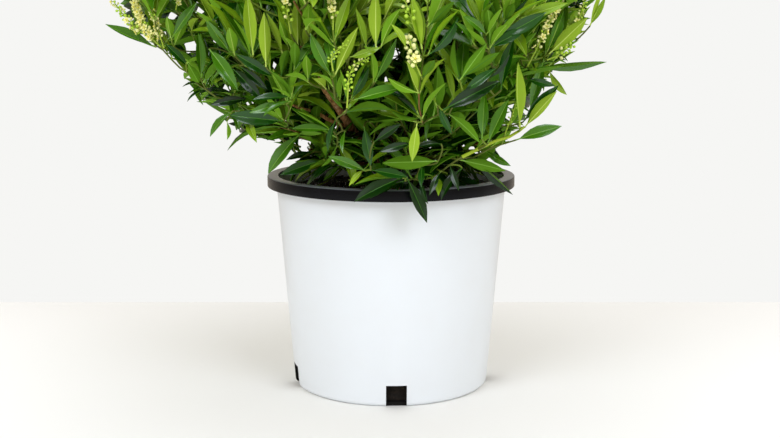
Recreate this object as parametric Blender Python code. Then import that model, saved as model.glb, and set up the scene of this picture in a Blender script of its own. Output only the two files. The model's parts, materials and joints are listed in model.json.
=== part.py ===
# Potted cherry laurel: a low evergreen shrub with narrow leaves in a round nursery pot.
# Metres, +Z up. The origin is the centre of the pot's flat underside, -Y faces the viewer
# and +X is the viewer's right.

import math
import random
from typing import NamedTuple

import bmesh
import bpy
from mathutils import Matrix, Vector
from mathutils.bvhtree import BVHTree

# Clearance between solids that touch on the real plant
GAP = 0.0003
UP = Vector((0.0, 0.0, 1.0))

# The pot: a white moulded wall that tapers to its floor, under a black rim
POT_HEIGHT = 0.240
POT_FOOT_RADIUS = 0.111
POT_SHOULDER_RADIUS = 0.1303
WALL_THICKNESS = 0.0026
FLOOR_THICKNESS = 0.0040
FOOT_BEVEL = 0.0025
POT_SIDES = 36

# The rim: a flat flange on the wall's top edge with a skirt round it
RIM_RADIUS = 0.140
RIM_DEPTH = 0.0122
RIM_THICKNESS = 0.0030
RIM_BEVEL = 0.0012

# Drain slots round the foot, open through the wall and the floor's edge
SLOT_WIDTH = 0.0225
SLOT_HEIGHT = 0.0242
SLOT_DEPTH = 0.010
SLOT_OVERRUN = 0.010
SLOT_AZIMUTHS = (195.0, 273.0, 357.0, 93.0)

# Potting mix, filled to a little below the rim
MIX_TOP = 0.2235

# The trunk: a short flared stem that leans to its fork
TRUNK_FOOT = Vector((-0.004, 0.003, MIX_TOP + GAP))
TRUNK_FORK = Vector((-0.012, 0.000, 0.288))
TRUNK_RADIUS = 0.0120
FORK_RADIUS = 0.0095
FLARE_RADIUS = 0.0190
FLARE_HEIGHT = 0.0053
TRUNK_SIDES = 10
TRUNK_RINGS = 8

# The crown's outline: round at every height, wider upwards to its waist, domed above it
CROWN_LOW = 0.240
CROWN_WAIST = 0.468
CROWN_TOP = 0.632
CROWN_RADIUS = 0.292
CROWN_LEAN = 0.036
CROWN_FOOT_SHARE = 0.50
CROWN_FAR = 0.6
HALVINGS = 24

# The crown's heart, from which the foliage masses share out the space between them
CROWN_HEART = Vector((-0.010, 0.0, 0.262))

# The apron outside the rim, where low leaves may hang
APRON_LOW = 0.208
APRON_HIGH = 0.260
APRON_RADIUS = 0.175

# Boughs: curved up from their launch, tapering to half at the tip
SHOOT_BEND = 0.45
BOUGH_SIDES = 6
BOUGH_RINGS = 5
BOUGH_TIP_SHARE = 0.50
AZIMUTH_PLAY = 6.0
ELEVATION_PLAY = 2.0

# Three-sided stems and twigs of the foliage
TWIG_SIDES = 3
STEM_RINGS = 4
STEM_REACH = 0.80
STEM_RADIUS = 0.0042
STEM_TIP_RADIUS = 0.0024
TWIG_RINGS = 3
TWIG_RADIUS = 0.0022
TWIG_TIP_RADIUS = 0.0015
TWIG_FOOT_SHARE = 0.42
TWIG_SPREAD = 50.0
TWIG_BEND = 0.5
TWIG_LIFT = 0.35
TWIGS_FROM = 0.05
TWIGS_TO = 0.92
TWIG_TRIALS = (1.0, 0.85, 0.7, 0.55, 0.4)
GOLDEN_ANGLE = math.pi * (3.0 - math.sqrt(5.0))

# Leaves: eight faces each, larger than life so that a few hundred fill the crown
LEAF_ASPECT = 0.36
LEAF_THICKNESS = 0.0022
LEAF_WIDEST = 0.45
LEAF_FOLD = 0.22
LEAF_SPREAD = 48.0
END_LEAF_SPREAD = 12.0
LEAVES_FROM = 0.22
LEAF_TRIALS = 12
LEAF_SHRINK = 0.02
LEAF_LIFT_PLAY = 0.25
LEAF_TURN_PLAY = 0.35
ROOT_SINK = 0.0005
BLADE_FROM = 0.12
BLADE_FACES = [(0, 1, 2), (0, 2, 3)]

# Flower spikes that stand up from the crown: shares of length and of width
SPIKE_LENGTH = 0.070
SPIKE_RADIUS = 0.0085
SPIKE_SIDES = 4
SPIKE_LIFT = 1.2
SPIKE_SHAPE = ((-0.06, 0.35), (0.30, 1.0), (0.72, 0.75), (1.0, 0.2))

# Room kept clear between the foliage masses, round the limbs and round the rim
CELL_MARGIN = 0.0008
LIMB_MARGIN = 0.0035
RIM_MARGIN = 0.0030

SEED = 7


class Ring(NamedTuple):
    """A ring of boughs, each with its mass of foliage. Angles are in degrees."""

    name: str
    count: int
    first_azimuth: float
    elevation: float
    root_height: float
    root_stagger: float
    root_radius: float
    launch: float
    bough_share: float
    twigs: int
    twig_length: float
    leaves_per_twig: int
    leaf_length: float
    leaf_lift: float
    spikes: int


LOW = Ring(
    name="low",
    count=6,
    first_azimuth=225.0,
    elevation=11.0,
    root_height=0.2440,
    root_stagger=0.0030,
    root_radius=0.0042,
    launch=20.0,
    bough_share=0.24,
    twigs=8,
    twig_length=0.085,
    leaves_per_twig=4,
    leaf_length=0.077,
    leaf_lift=-0.10,
    spikes=0,
)
MIDDLE = Ring(
    name="middle",
    count=6,
    first_azimuth=195.0,
    elevation=36.0,
    root_height=0.2640,
    root_stagger=0.0040,
    root_radius=0.0052,
    launch=34.0,
    bough_share=0.26,
    twigs=9,
    twig_length=0.120,
    leaves_per_twig=5,
    leaf_length=0.094,
    leaf_lift=0.20,
    spikes=2,
)
HIGH = Ring(
    name="high",
    count=3,
    first_azimuth=230.0,
    elevation=63.0,
    root_height=0.3060,
    root_stagger=0.0060,
    root_radius=0.0044,
    launch=55.0,
    bough_share=0.30,
    twigs=8,
    twig_length=0.120,
    leaves_per_twig=5,
    leaf_length=0.094,
    leaf_lift=0.55,
    spikes=2,
)
TOP = Ring(
    name="top",
    count=1,
    first_azimuth=0.0,
    elevation=88.0,
    root_height=TRUNK_FORK.z,
    root_stagger=0.0,
    root_radius=FORK_RADIUS,
    launch=88.0,
    bough_share=0.36,
    twigs=7,
    twig_length=0.110,
    leaves_per_twig=5,
    leaf_length=0.094,
    leaf_lift=0.70,
    spikes=1,
)


class Limb(NamedTuple):
    """A tapering limb: the points of its axis and the radius at each."""

    points: list
    radii: list


class Mass(NamedTuple):
    """A mass of foliage: its ring, the way it lies from the crown's heart and its stem."""

    name: str
    ring: Ring
    way: Vector
    stem: Limb


def clear_scene():
    for obj in list(bpy.data.objects):
        bpy.data.objects.remove(obj, do_unlink=True)


def material(name, colour, roughness, metallic=0.0):
    """A plain Principled finish."""
    made = bpy.data.materials.new(name)
    made.use_nodes = True
    shader = made.node_tree.nodes["Principled BSDF"]
    shader.inputs["Base Color"].default_value = (*colour, 1.0)
    shader.inputs["Roughness"].default_value = roughness
    shader.inputs["Metallic"].default_value = metallic
    made.diffuse_color = (*colour, 1.0)
    return made


def object_from(name, bm, finish=None):
    """A linked object from a bmesh, with its faces turned outwards."""
    mesh = bpy.data.meshes.new(name)
    bmesh.ops.recalc_face_normals(bm, faces=bm.faces)
    bm.to_mesh(mesh)
    bm.free()
    obj = bpy.data.objects.new(name, mesh)
    bpy.context.scene.collection.objects.link(obj)
    if finish:
        mesh.materials.append(finish)
    return obj


def settle(obj):
    """Turns an object's modifiers into its mesh."""
    graph = bpy.context.evaluated_depsgraph_get()
    mesh = bpy.data.meshes.new_from_object(obj.evaluated_get(graph))
    obj.modifiers.clear()
    obj.data = mesh


def cut(obj, cutter):
    """Takes the cutter's shape out of an object."""
    step = obj.modifiers.new("cut", "BOOLEAN")
    step.operation = "DIFFERENCE"
    step.solver = "EXACT"
    step.object = cutter
    settle(obj)


def joined(name, pieces, finish):
    """Joins closed pieces that run into each other into one closed body."""
    group = bpy.data.collections.new(f"{name}_pieces")
    bpy.context.scene.collection.children.link(group)
    body = pieces[0]
    for piece in pieces[1:]:
        bpy.context.scene.collection.objects.unlink(piece)
        group.objects.link(piece)
    step = body.modifiers.new("join", "BOOLEAN")
    step.operation = "UNION"
    step.solver = "MANIFOLD"
    step.operand_type = "COLLECTION"
    step.collection = group
    settle(body)
    for piece in list(group.objects):
        bpy.data.objects.remove(piece, do_unlink=True)
    bpy.data.collections.remove(group)
    body.name = name
    body.data.name = name
    body.data.materials.clear()
    body.data.materials.append(finish)
    return body


def turned(name, profile, finish):
    """A closed profile of (radius, height) points, spun round the pot's axis."""
    bm = bmesh.new()
    verts = [bm.verts.new((radius, 0.0, height)) for radius, height in profile]
    edges = [bm.edges.new((a, b)) for a, b in zip(verts, verts[1:] + verts[:1])]
    bmesh.ops.spin(
        bm,
        geom=verts + edges,
        axis=UP,
        cent=(0.0, 0.0, 0.0),
        angle=math.tau,
        steps=POT_SIDES,
        use_merge=True,
    )
    bmesh.ops.remove_doubles(bm, verts=bm.verts, dist=1e-6)
    obj = object_from(name, bm, finish)
    obj.data.shade_smooth()
    obj.data.set_sharp_from_angle(angle=math.radians(30.0))
    return obj


def mixed(start, end, share):
    return start + (end - start) * share


def bend(start, control, end, share):
    """A point on the curve from start to end that leaves start towards control."""
    first = mixed(start, control, share)
    return mixed(first, mixed(control, end, share), share)


def direction(azimuth, elevation):
    """A unit vector from degrees round +Z and degrees above level."""
    turn = math.radians(azimuth)
    rise = math.radians(elevation)
    level = math.cos(rise)
    return Vector((math.cos(turn) * level, math.sin(turn) * level, math.sin(rise)))


def across(way):
    """Two unit vectors square to this one and to each other."""
    side = way.cross(UP)
    if side.length < 1e-4:
        side = way.cross(Vector((1.0, 0.0, 0.0)))
    side.normalize()
    return side, way.cross(side).normalized()


def around(way, turn):
    """The unit vector square to this one at a turn round it."""
    side, other = across(way)
    return side * math.cos(turn) + other * math.sin(turn)


def along(limb, share):
    """The point and the direction at a share of a limb's length."""
    spans = len(limb.points) - 1
    place = min(share * spans, spans - 1e-6)
    index = int(place)
    start, end = limb.points[index], limb.points[index + 1]
    return mixed(start, end, place - index), (end - start).normalized()


def tube(name, limb, sides, foot_way=None):
    """A closed tapering tube along a limb's axis, whose foot may be cut square to a given way."""
    bm = bmesh.new()
    rings = []
    last = len(limb.points) - 1
    side = across((limb.points[1] - limb.points[0]).normalized())[0]
    for index, (point, radius) in enumerate(zip(limb.points, limb.radii)):
        way = (limb.points[min(index + 1, last)] - limb.points[max(index - 1, 0)]).normalized()
        if foot_way and index == 0:
            way = foot_way
        side = (side - way * side.dot(way)).normalized()
        other = way.cross(side)
        ring = []
        for step in range(sides):
            turn = math.tau * step / sides
            ring.append(bm.verts.new(point + (side * math.cos(turn) + other * math.sin(turn)) * radius))
        rings.append(ring)
    for low, high in zip(rings, rings[1:]):
        for step in range(sides):
            after = (step + 1) % sides
            bm.faces.new((low[step], low[after], high[after], high[step]))
    bm.faces.new(rings[0])
    bm.faces.new(rings[-1])
    return object_from(name, bm)


def wall_radius(height):
    """Outer radius of the pot's wall at this height."""
    return mixed(POT_FOOT_RADIUS, POT_SHOULDER_RADIUS, height / (POT_HEIGHT - RIM_THICKNESS))


def slot_cutter():
    """Blocks round the foot, where the drain slots are."""
    bm = bmesh.new()
    depth = SLOT_DEPTH + SLOT_OVERRUN
    middle = POT_FOOT_RADIUS - SLOT_DEPTH + depth / 2.0
    height = SLOT_HEIGHT + SLOT_OVERRUN
    for azimuth in SLOT_AZIMUTHS:
        place = (
            Matrix.Rotation(math.radians(azimuth), 4, "Z")
            @ Matrix.Translation((middle, 0.0, SLOT_HEIGHT - height / 2.0))
            @ Matrix.Diagonal((depth, SLOT_WIDTH, height, 1.0))
        )
        bmesh.ops.create_cube(bm, size=1.0, matrix=place)
    return object_from("slot_cutter", bm)


def make_shell(finish):
    """The pot's wall and floor in one moulding."""
    top = POT_HEIGHT - RIM_THICKNESS - GAP
    profile = [
        (0.0, 0.0),
        (POT_FOOT_RADIUS - FOOT_BEVEL, 0.0),
        (wall_radius(FOOT_BEVEL), FOOT_BEVEL),
        (wall_radius(top), top),
        (wall_radius(top) - WALL_THICKNESS, top),
        (wall_radius(FLOOR_THICKNESS) - WALL_THICKNESS, FLOOR_THICKNESS),
        (0.0, FLOOR_THICKNESS),
    ]
    return turned("pot_shell", profile, finish)


def make_rim(finish):
    """The rim, which sits on the wall's top edge and stands out round it."""
    flange_low = POT_HEIGHT - RIM_THICKNESS
    inner = wall_radius(flange_low) - WALL_THICKNESS
    skirt_inner = RIM_RADIUS - RIM_THICKNESS
    profile = [
        (inner, flange_low),
        (skirt_inner, flange_low),
        (skirt_inner, POT_HEIGHT - RIM_DEPTH),
        (RIM_RADIUS, POT_HEIGHT - RIM_DEPTH),
        (RIM_RADIUS, POT_HEIGHT - RIM_BEVEL),
        (RIM_RADIUS - RIM_BEVEL, POT_HEIGHT),
        (inner, POT_HEIGHT),
    ]
    return turned("pot_rim", profile, finish)


def make_mix(finish):
    """The potting mix, clear of the wall and the floor all round."""
    low = FLOOR_THICKNESS + GAP
    room = WALL_THICKNESS + GAP
    profile = [
        (0.0, low),
        (wall_radius(low) - room, low),
        (wall_radius(MIX_TOP) - room, MIX_TOP),
        (0.0, MIX_TOP),
    ]
    return turned("potting_mix", profile, finish)


def make_pot():
    """The white shell, the black rim, and the potting mix, with the drain slots cut."""
    shell = make_shell(material("moulded_white_plastic", (0.86, 0.86, 0.85), 0.35))
    make_rim(material("moulded_black_plastic", (0.02, 0.02, 0.022), 0.45))
    mix = make_mix(material("bark_and_peat_mix", (0.035, 0.025, 0.018), 0.95))
    cutter = slot_cutter()
    cut(shell, cutter)
    cut(mix, cutter)
    bpy.data.objects.remove(cutter, do_unlink=True)


def crown_share(height):
    """The crown's width at this height, as a share of its width at the waist."""
    if height <= CROWN_WAIST:
        climb = max(height - CROWN_LOW, 0.0) / (CROWN_WAIST - CROWN_LOW)
        return mixed(CROWN_FOOT_SHARE, 1.0, math.sin(climb * math.pi / 2.0))
    climb = (height - CROWN_WAIST) / (CROWN_TOP - CROWN_WAIST)
    return math.sqrt(max(0.0, 1.0 - climb * climb))


def in_crown(point):
    """Whether a point lies inside the crown's outline."""
    if point.z > CROWN_TOP:
        return False
    share = crown_share(point.z)
    return math.hypot(point.x + CROWN_LEAN * share, point.y) <= CROWN_RADIUS * share


def in_apron(point):
    """Whether a point is just outside the rim, where low leaves may hang."""
    return APRON_LOW < point.z < APRON_HIGH and math.hypot(point.x, point.y) < APRON_RADIUS


def crown_edge(way):
    """How far the crown reaches from its heart along a direction."""
    near, far = 0.0, CROWN_FAR
    for _ in range(HALVINGS):
        middle = (near + far) / 2.0
        if in_crown(CROWN_HEART + way * middle):
            near = middle
        else:
            far = middle
    return near


def over_pot(point):
    """Whether a point is clear of the potting mix and of the rim."""
    if point.z > POT_HEIGHT + RIM_MARGIN:
        return True
    radius = math.hypot(point.x, point.y)
    if radius < wall_radius(MIX_TOP) - WALL_THICKNESS - RIM_MARGIN:
        return point.z > MIX_TOP + RIM_MARGIN
    return radius > RIM_RADIUS + RIM_MARGIN


def in_cell(point, mass, masses, room):
    """Whether a point is nearer to this mass's direction than to any other's, by this room."""
    offset = point - CROWN_HEART
    for other in masses:
        if other is not mass and offset.dot((mass.way - other.way).normalized()) < room:
            return False
    return True


def limb_distance(point, limb):
    """How far a point is from a limb's surface."""
    nearest = math.inf
    for a, b, radius in zip(limb.points, limb.points[1:], limb.radii):
        span = b - a
        share = max(0.0, min(1.0, (point - a).dot(span) / span.length_squared))
        nearest = min(nearest, (point - a - span * share).length - radius)
    return nearest


def trunk_limb(extra=0.0):
    """The trunk's axis and radii, with its flare; extra widens it for a cutter."""
    knee = Vector((TRUNK_FOOT.x, TRUNK_FOOT.y, (TRUNK_FOOT.z + TRUNK_FORK.z) / 2.0))
    trunk = Limb([], [])
    for index in range(TRUNK_RINGS):
        share = index / (TRUNK_RINGS - 1)
        point = bend(TRUNK_FOOT, knee, TRUNK_FORK, share)
        flare = (FLARE_RADIUS - TRUNK_RADIUS) * math.exp((TRUNK_FOOT.z - point.z) / FLARE_HEIGHT)
        trunk.points.append(point)
        trunk.radii.append(mixed(TRUNK_RADIUS, FORK_RADIUS, share) + flare + extra)
    return trunk


def shoot(root, launch, end, ring):
    """One shoot from the wood to the crown's edge, as its bough and the stem of its mass."""
    control = root + launch * (end - root).length * SHOOT_BEND
    bare = ring.bough_share
    bough = Limb([], [])
    for index in range(BOUGH_RINGS):
        share = index / (BOUGH_RINGS - 1)
        bough.points.append(bend(root, control, end, bare * share))
        bough.radii.append(ring.root_radius * mixed(1.0, BOUGH_TIP_SHARE, share))
    tip = bough.points[-1]
    ahead = (bend(root, control, end, bare + 0.01) - tip).normalized()
    stem = Limb([tip + ahead * GAP], [STEM_RADIUS])
    for index in range(1, STEM_RINGS):
        share = index / (STEM_RINGS - 1)
        stem.points.append(bend(root, control, end, mixed(bare, 1.0, share)))
        stem.radii.append(mixed(STEM_RADIUS, STEM_TIP_RADIUS, share))
    return bough, stem


def plan_leader():
    """The bough that carries on from the fork to the top of the crown, and its mass."""
    trunk = trunk_limb()
    lean = (trunk.points[-1] - trunk.points[-2]).normalized()
    way = direction(TOP.first_azimuth, TOP.elevation)
    end = CROWN_HEART + way * crown_edge(way) * STEM_REACH
    leader, stem = shoot(TRUNK_FORK + lean * GAP, lean, end, TOP)
    return leader, Mass("top_foliage", TOP, way, stem)


def wood_axis(height, leader):
    """The point of the trunk's or the leader's axis at this height."""
    axis = trunk_limb().points + leader.points[1:]
    for low, high in zip(axis, axis[1:]):
        if low.z <= height <= high.z:
            return mixed(low, high, (height - low.z) / (high.z - low.z))
    return axis[-1].copy()


def plan_limbs(draw):
    """Lays out the boughs and the stems of the foliage masses, ring by ring."""
    leader, top_mass = plan_leader()
    boughs = {"leader": leader}
    masses = [top_mass]
    for ring in (LOW, MIDDLE, HIGH):
        for index in range(ring.count):
            step = 360.0 * index / ring.count
            azimuth = ring.first_azimuth + step + draw.uniform(-AZIMUTH_PLAY, AZIMUTH_PLAY)
            elevation = ring.elevation + draw.uniform(-ELEVATION_PLAY, ELEVATION_PLAY)
            stagger = ring.root_stagger if index % 2 else -ring.root_stagger
            root = wood_axis(ring.root_height + stagger, leader)
            way = direction(azimuth, elevation)
            end = CROWN_HEART + way * crown_edge(way) * STEM_REACH
            bough, stem = shoot(root, direction(azimuth, ring.launch), end, ring)
            boughs[f"{ring.name}_bough_{index + 1}"] = bough
            masses.append(Mass(f"{ring.name}_foliage_{index + 1}", ring, way, stem))
    return boughs, masses


def make_wood(boughs, finish):
    """The trunk, the leader and the boughs, each cut 0.3 mm clear of the wood that it leaves."""
    trunk = tube("trunk", trunk_limb(), TRUNK_SIDES, foot_way=UP)
    trunk.data.materials.append(finish)
    trunk_room = tube("trunk_room", trunk_limb(GAP), TRUNK_SIDES, foot_way=UP)
    leader = boughs["leader"]
    wide_leader = Limb(leader.points, [radius + GAP for radius in leader.radii])
    leader_room = tube("leader_room", wide_leader, BOUGH_SIDES)
    for name, bough in boughs.items():
        limb = tube(name, bough, BOUGH_SIDES)
        limb.data.materials.append(finish)
        if name.startswith(HIGH.name):
            cut(limb, leader_room)
        elif name != "leader":
            cut(limb, trunk_room)
    for room in (trunk_room, leader_room):
        bpy.data.objects.remove(room, do_unlink=True)


def slats(limb):
    """Two crossed slats through each length of a limb, for crossing tests."""
    corners = []
    faces = []
    for low, high, radius in zip(limb.points, limb.points[1:], limb.radii):
        for side in across((high - low).normalized()):
            first = len(corners)
            reach = side * radius
            corners += [low + reach, low - reach, high - reach, high + reach]
            faces.append((first, first + 1, first + 2, first + 3))
    return corners, faces


class Clutter:
    """What stands in a space already, so that a new blade or twig crosses none of it."""

    def __init__(self):
        self.corners = []
        self.faces = []
        self.tree = None

    def keep(self, corners, faces):
        """Adds faces whose numbers count from these corners."""
        first = len(self.corners)
        self.corners += corners
        self.faces += [tuple(first + index for index in face) for face in faces]
        self.tree = BVHTree.FromPolygons(self.corners, self.faces)

    def hits(self, corners, faces):
        return bool(self.tree.overlap(BVHTree.FromPolygons(corners, faces)))


def made_solids():
    """The surfaces of the pot, the trunk and the boughs, for crossing tests."""
    solids = Clutter()
    for obj in bpy.context.scene.objects:
        corners = [vert.co.copy() for vert in obj.data.vertices]
        solids.keep(corners, [tuple(face.vertices) for face in obj.data.polygons])
    return solids


class Plot:
    """The space of one mass, with every limb and mass round it."""

    def __init__(self, mass, masses, limbs, solids):
        self.mass = mass
        self.masses = masses
        self.limbs = limbs
        self.solids = solids

    def holds(self, points, radius=0.0):
        """Whether every point is in the mass's own space, over the pot and clear of the limbs."""
        for point in points:
            if not (in_crown(point) or in_apron(point)) or not over_pot(point):
                return False
            if not in_cell(point, self.mass, self.masses, CELL_MARGIN + radius):
                return False
            if any(limb_distance(point, limb) < LIMB_MARGIN + radius for limb in self.limbs):
                return False
        return True


def twig_on(stem, place, turn, length):
    """A three-sided twig that leaves the stem and bends upwards."""
    root, way = along(stem, place)
    angle = math.radians(TWIG_SPREAD)
    launch = (way * math.cos(angle) + around(way, turn) * math.sin(angle)).normalized()
    end = root + (launch + UP * TWIG_LIFT).normalized() * length
    control = root + launch * length * TWIG_BEND
    twig = Limb([], [])
    for index in range(TWIG_RINGS):
        share = index / (TWIG_RINGS - 1)
        twig.points.append(bend(root, control, end, share))
        twig.radii.append(mixed(TWIG_RADIUS, TWIG_TIP_RADIUS, share))
    foot = mixed(STEM_RADIUS, STEM_TIP_RADIUS, place) * TWIG_FOOT_SHARE
    twig.radii[0] = min(TWIG_RADIUS, foot)
    return twig


def grow_twigs(plot, draw):
    """Twigs round the stem by the golden angle, each as long as its space lets it be."""
    ring = plot.mass.ring
    twigs = []
    turn = draw.uniform(0.0, math.tau)
    for index in range(ring.twigs):
        place = mixed(TWIGS_FROM, TWIGS_TO, index / (ring.twigs - 1))
        turn += GOLDEN_ANGLE
        for share in TWIG_TRIALS:
            twig = twig_on(plot.mass.stem, place, turn, ring.twig_length * share)
            if not plot.solids.hits(*slats(twig)) and plot.holds(twig.points[1:], TWIG_RADIUS):
                twigs.append(twig)
                break
    return twigs


def leaf_corners(root, way, face, length):
    """A leaf's six corners: base, tip, two sides, top and bottom."""
    side = way.cross(face).normalized()
    middle = root + way * length * LEAF_WIDEST
    half = length * LEAF_ASPECT / 2.0
    fold = face * (half * LEAF_FOLD)
    rise = face * (LEAF_THICKNESS / 2.0)
    return [
        root,
        root + way * length,
        middle - side * half + fold,
        middle + side * half + fold,
        middle + rise,
        middle - rise,
    ]


def leaf_on(twig, place, turn, spread, lift, length):
    """The corners of a leaf that leaves a twig at a share of its length, turned round it."""
    point, way = along(twig, place)
    angle = math.radians(spread)
    aim = (way * math.cos(angle) + around(way, turn) * math.sin(angle) + UP * lift).normalized()
    face = (UP - aim * UP.dot(aim)) + (way - aim * way.dot(aim)) * 0.6
    return leaf_corners(point - aim * ROOT_SINK, aim, face.normalized(), length)


def flat_turn(index, draw):
    """The turn round a three-sided twig that leaves one of its flats."""
    return math.tau * (index + 0.5) / TWIG_SIDES + draw.uniform(-LEAF_TURN_PLAY, LEAF_TURN_PLAY)


def blade_of(corners):
    """The flat outline of a leaf beyond its stalk."""
    base, tip, left, right = corners[:4]
    return [mixed(base, tip, BLADE_FROM), left, tip, right]


def leaf_samples(corners):
    """Points all over a leaf, for the tests of its space, leaving out its sunk root."""
    base, tip, left, right, top, bottom = corners
    halves = [mixed(end, side, 0.5) for end in (base, tip) for side in (left, right)]
    spine = [mixed(base, top, 0.35), mixed(base, top, 0.7), mixed(tip, top, 0.5)]
    return [tip, left, right, top, bottom] + halves + spine


def grow_leaf(plot, clutter, twig, index, draw):
    """The first trial of a leaf at its place on a twig that finds room, or nothing."""
    ring = plot.mass.ring
    place = mixed(LEAVES_FROM, 1.0, index / ring.leaves_per_twig)
    spread = LEAF_SPREAD if index < ring.leaves_per_twig else END_LEAF_SPREAD
    full = ring.leaf_length * draw.uniform(0.88, 1.15)
    for trial in range(LEAF_TRIALS):
        lift = ring.leaf_lift + draw.uniform(-LEAF_LIFT_PLAY, LEAF_LIFT_PLAY)
        turn = flat_turn(index + trial, draw)
        corners = leaf_on(twig, place, turn, spread, lift, full * (1.0 - LEAF_SHRINK * trial))
        blade = blade_of(corners)
        crossed = clutter.hits(blade, BLADE_FACES) or plot.solids.hits(blade, BLADE_FACES)
        if not crossed and plot.holds(leaf_samples(corners)):
            clutter.keep(blade, BLADE_FACES)
            return corners
    return None


def grow_leaves(plot, twigs, draw):
    """Leaves round the stem's and each twig's length and at its end, where there is room."""
    clutter = Clutter()
    for limb in [plot.mass.stem] + twigs:
        clutter.keep(*slats(limb))
    leaves = []
    for twig in [plot.mass.stem] + twigs:
        for index in range(plot.mass.ring.leaves_per_twig + 1):
            corners = grow_leaf(plot, clutter, twig, index, draw)
            if corners:
                leaves.append(corners)
    return leaves


def spike_on(twig):
    """A flower spike that stands up from a twig's tip."""
    point, way = along(twig, 1.0)
    aim = (way + UP * SPIKE_LIFT).normalized()
    spike = Limb([], [])
    for share, width in SPIKE_SHAPE:
        spike.points.append(point + aim * SPIKE_LENGTH * share)
        spike.radii.append(SPIKE_RADIUS * width)
    return spike


def grow_spikes(plot, twigs):
    """As many flower spikes as the mass bears, on its outermost twigs that have the room."""
    spikes = []
    for twig in reversed(twigs):
        spike = spike_on(twig)
        if len(spikes) < plot.mass.ring.spikes and plot.holds(spike.points[1:], SPIKE_RADIUS):
            spikes.append(spike)
    return spikes


def leaf_object(corners):
    """A leaf as a closed body of eight faces."""
    bm = bmesh.new()
    base, tip, left, right, top, bottom = [bm.verts.new(corner) for corner in corners]
    for middle in (top, bottom):
        bm.faces.new((base, left, middle))
        bm.faces.new((left, tip, middle))
        bm.faces.new((tip, right, middle))
        bm.faces.new((right, base, middle))
    return object_from("leaf", bm)


def make_foliage(boughs, masses, finish, draw):
    """Each mass: its stem, twigs, leaves and flower spikes joined into one body."""
    limbs = [trunk_limb()] + list(boughs.values())
    solids = made_solids()
    for mass in masses:
        plot = Plot(mass, masses, limbs, solids)
        twigs = grow_twigs(plot, draw)
        leaves = grow_leaves(plot, twigs, draw)
        spikes = grow_spikes(plot, twigs)
        pieces = [tube("stem", mass.stem, TWIG_SIDES)]
        pieces += [tube("twig", twig, TWIG_SIDES) for twig in twigs]
        pieces += [leaf_object(corners) for corners in leaves]
        pieces += [tube("spike", spike, SPIKE_SIDES) for spike in spikes]
        joined(mass.name, pieces, finish)


def main():
    clear_scene()
    draw = random.Random(SEED)
    make_pot()
    boughs, masses = plan_limbs(draw)
    make_wood(boughs, material("brown_bark", (0.16, 0.085, 0.045), 0.85))
    make_foliage(boughs, masses, material("laurel_leaf", (0.06, 0.18, 0.03), 0.35), draw)


main()
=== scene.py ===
"""A potted cherry laurel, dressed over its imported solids.

Metres, +Z up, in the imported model's frame: the origin is the centre of the pot's flat underside,
-Y faces the viewer and +X is the viewer's right. The pot and its rim are turned mouldings, the
trunk and the boughs carry their bark's relief, and each mass of foliage grows on from its bough
by the same rule as its solid does, carried on to finer twigs and leaves of the real size.
"""

import json
import logging
import math
import random
from dataclasses import dataclass, field
from enum import IntEnum
from typing import Iterable, Sequence, TypeVar

import bmesh
import bpy
from bpy.types import Collection, Material, Mesh, Node, NodeSocket, NodeTree, Object
from mathutils import Matrix, Vector, noise
from mathutils.bvhtree import BVHTree

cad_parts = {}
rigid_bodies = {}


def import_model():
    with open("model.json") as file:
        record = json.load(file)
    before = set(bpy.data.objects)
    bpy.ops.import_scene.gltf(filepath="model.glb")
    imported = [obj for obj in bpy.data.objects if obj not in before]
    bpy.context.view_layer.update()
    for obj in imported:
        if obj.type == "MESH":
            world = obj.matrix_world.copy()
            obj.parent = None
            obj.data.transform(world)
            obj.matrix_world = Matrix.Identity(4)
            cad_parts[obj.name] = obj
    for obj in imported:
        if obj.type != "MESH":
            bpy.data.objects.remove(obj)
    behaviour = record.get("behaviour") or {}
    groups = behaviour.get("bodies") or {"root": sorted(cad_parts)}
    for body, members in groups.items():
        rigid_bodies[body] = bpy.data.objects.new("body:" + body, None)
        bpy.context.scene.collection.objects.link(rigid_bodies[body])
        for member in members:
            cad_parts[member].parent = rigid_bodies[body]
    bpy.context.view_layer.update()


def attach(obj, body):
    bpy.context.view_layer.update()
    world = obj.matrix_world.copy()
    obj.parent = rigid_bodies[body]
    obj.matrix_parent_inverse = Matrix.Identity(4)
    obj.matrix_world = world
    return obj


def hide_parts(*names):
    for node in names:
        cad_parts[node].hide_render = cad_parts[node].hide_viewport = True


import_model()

LOG = logging.getLogger("potted_laurel")
BODY = "root"

MM = 0.001
UP = Vector((0.0, 0.0, 1.0))
# The point low in the crown from which every shoot's reach is measured
HEART = Vector((-0.010, 0.0, 0.262))
# The top of the potting mix
MIX_TOP = 0.2235
GOLDEN_ANGLE = math.pi * (3.0 - math.sqrt(5.0))

Value = TypeVar("Value", float, Vector)
Faces = list[tuple[int, ...]]
Patch = tuple[list[Vector], Faces]
Finishes = dict[tuple[int, ...], "Finish"]


# Small helpers for curves, directions and colours


def mixed(start: Value, end: Value, share: float) -> Value:
    """Returns the value at a share of the way from start to end."""
    return start + (end - start) * share


def clamped(share: float) -> float:
    """Returns a share held between 0 and 1."""
    return max(0.0, min(1.0, share))


def steps(count: int) -> list[float]:
    """Returns this many even shares from 0 to 1."""
    return [index / (count - 1) for index in range(count)]


def turns(count: int) -> list[tuple[float, float]]:
    """Returns the cosine and sine of this many even turns round a circle."""
    return [(math.cos(turn), math.sin(turn)) for turn in (math.tau * k / count for k in range(count))]


def bend(start: Vector, control: Vector, end: Vector, share: float) -> Vector:
    """Returns a point on the curve from start to end that leaves start towards control."""
    return mixed(mixed(start, control, share), mixed(control, end, share), share)


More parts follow.
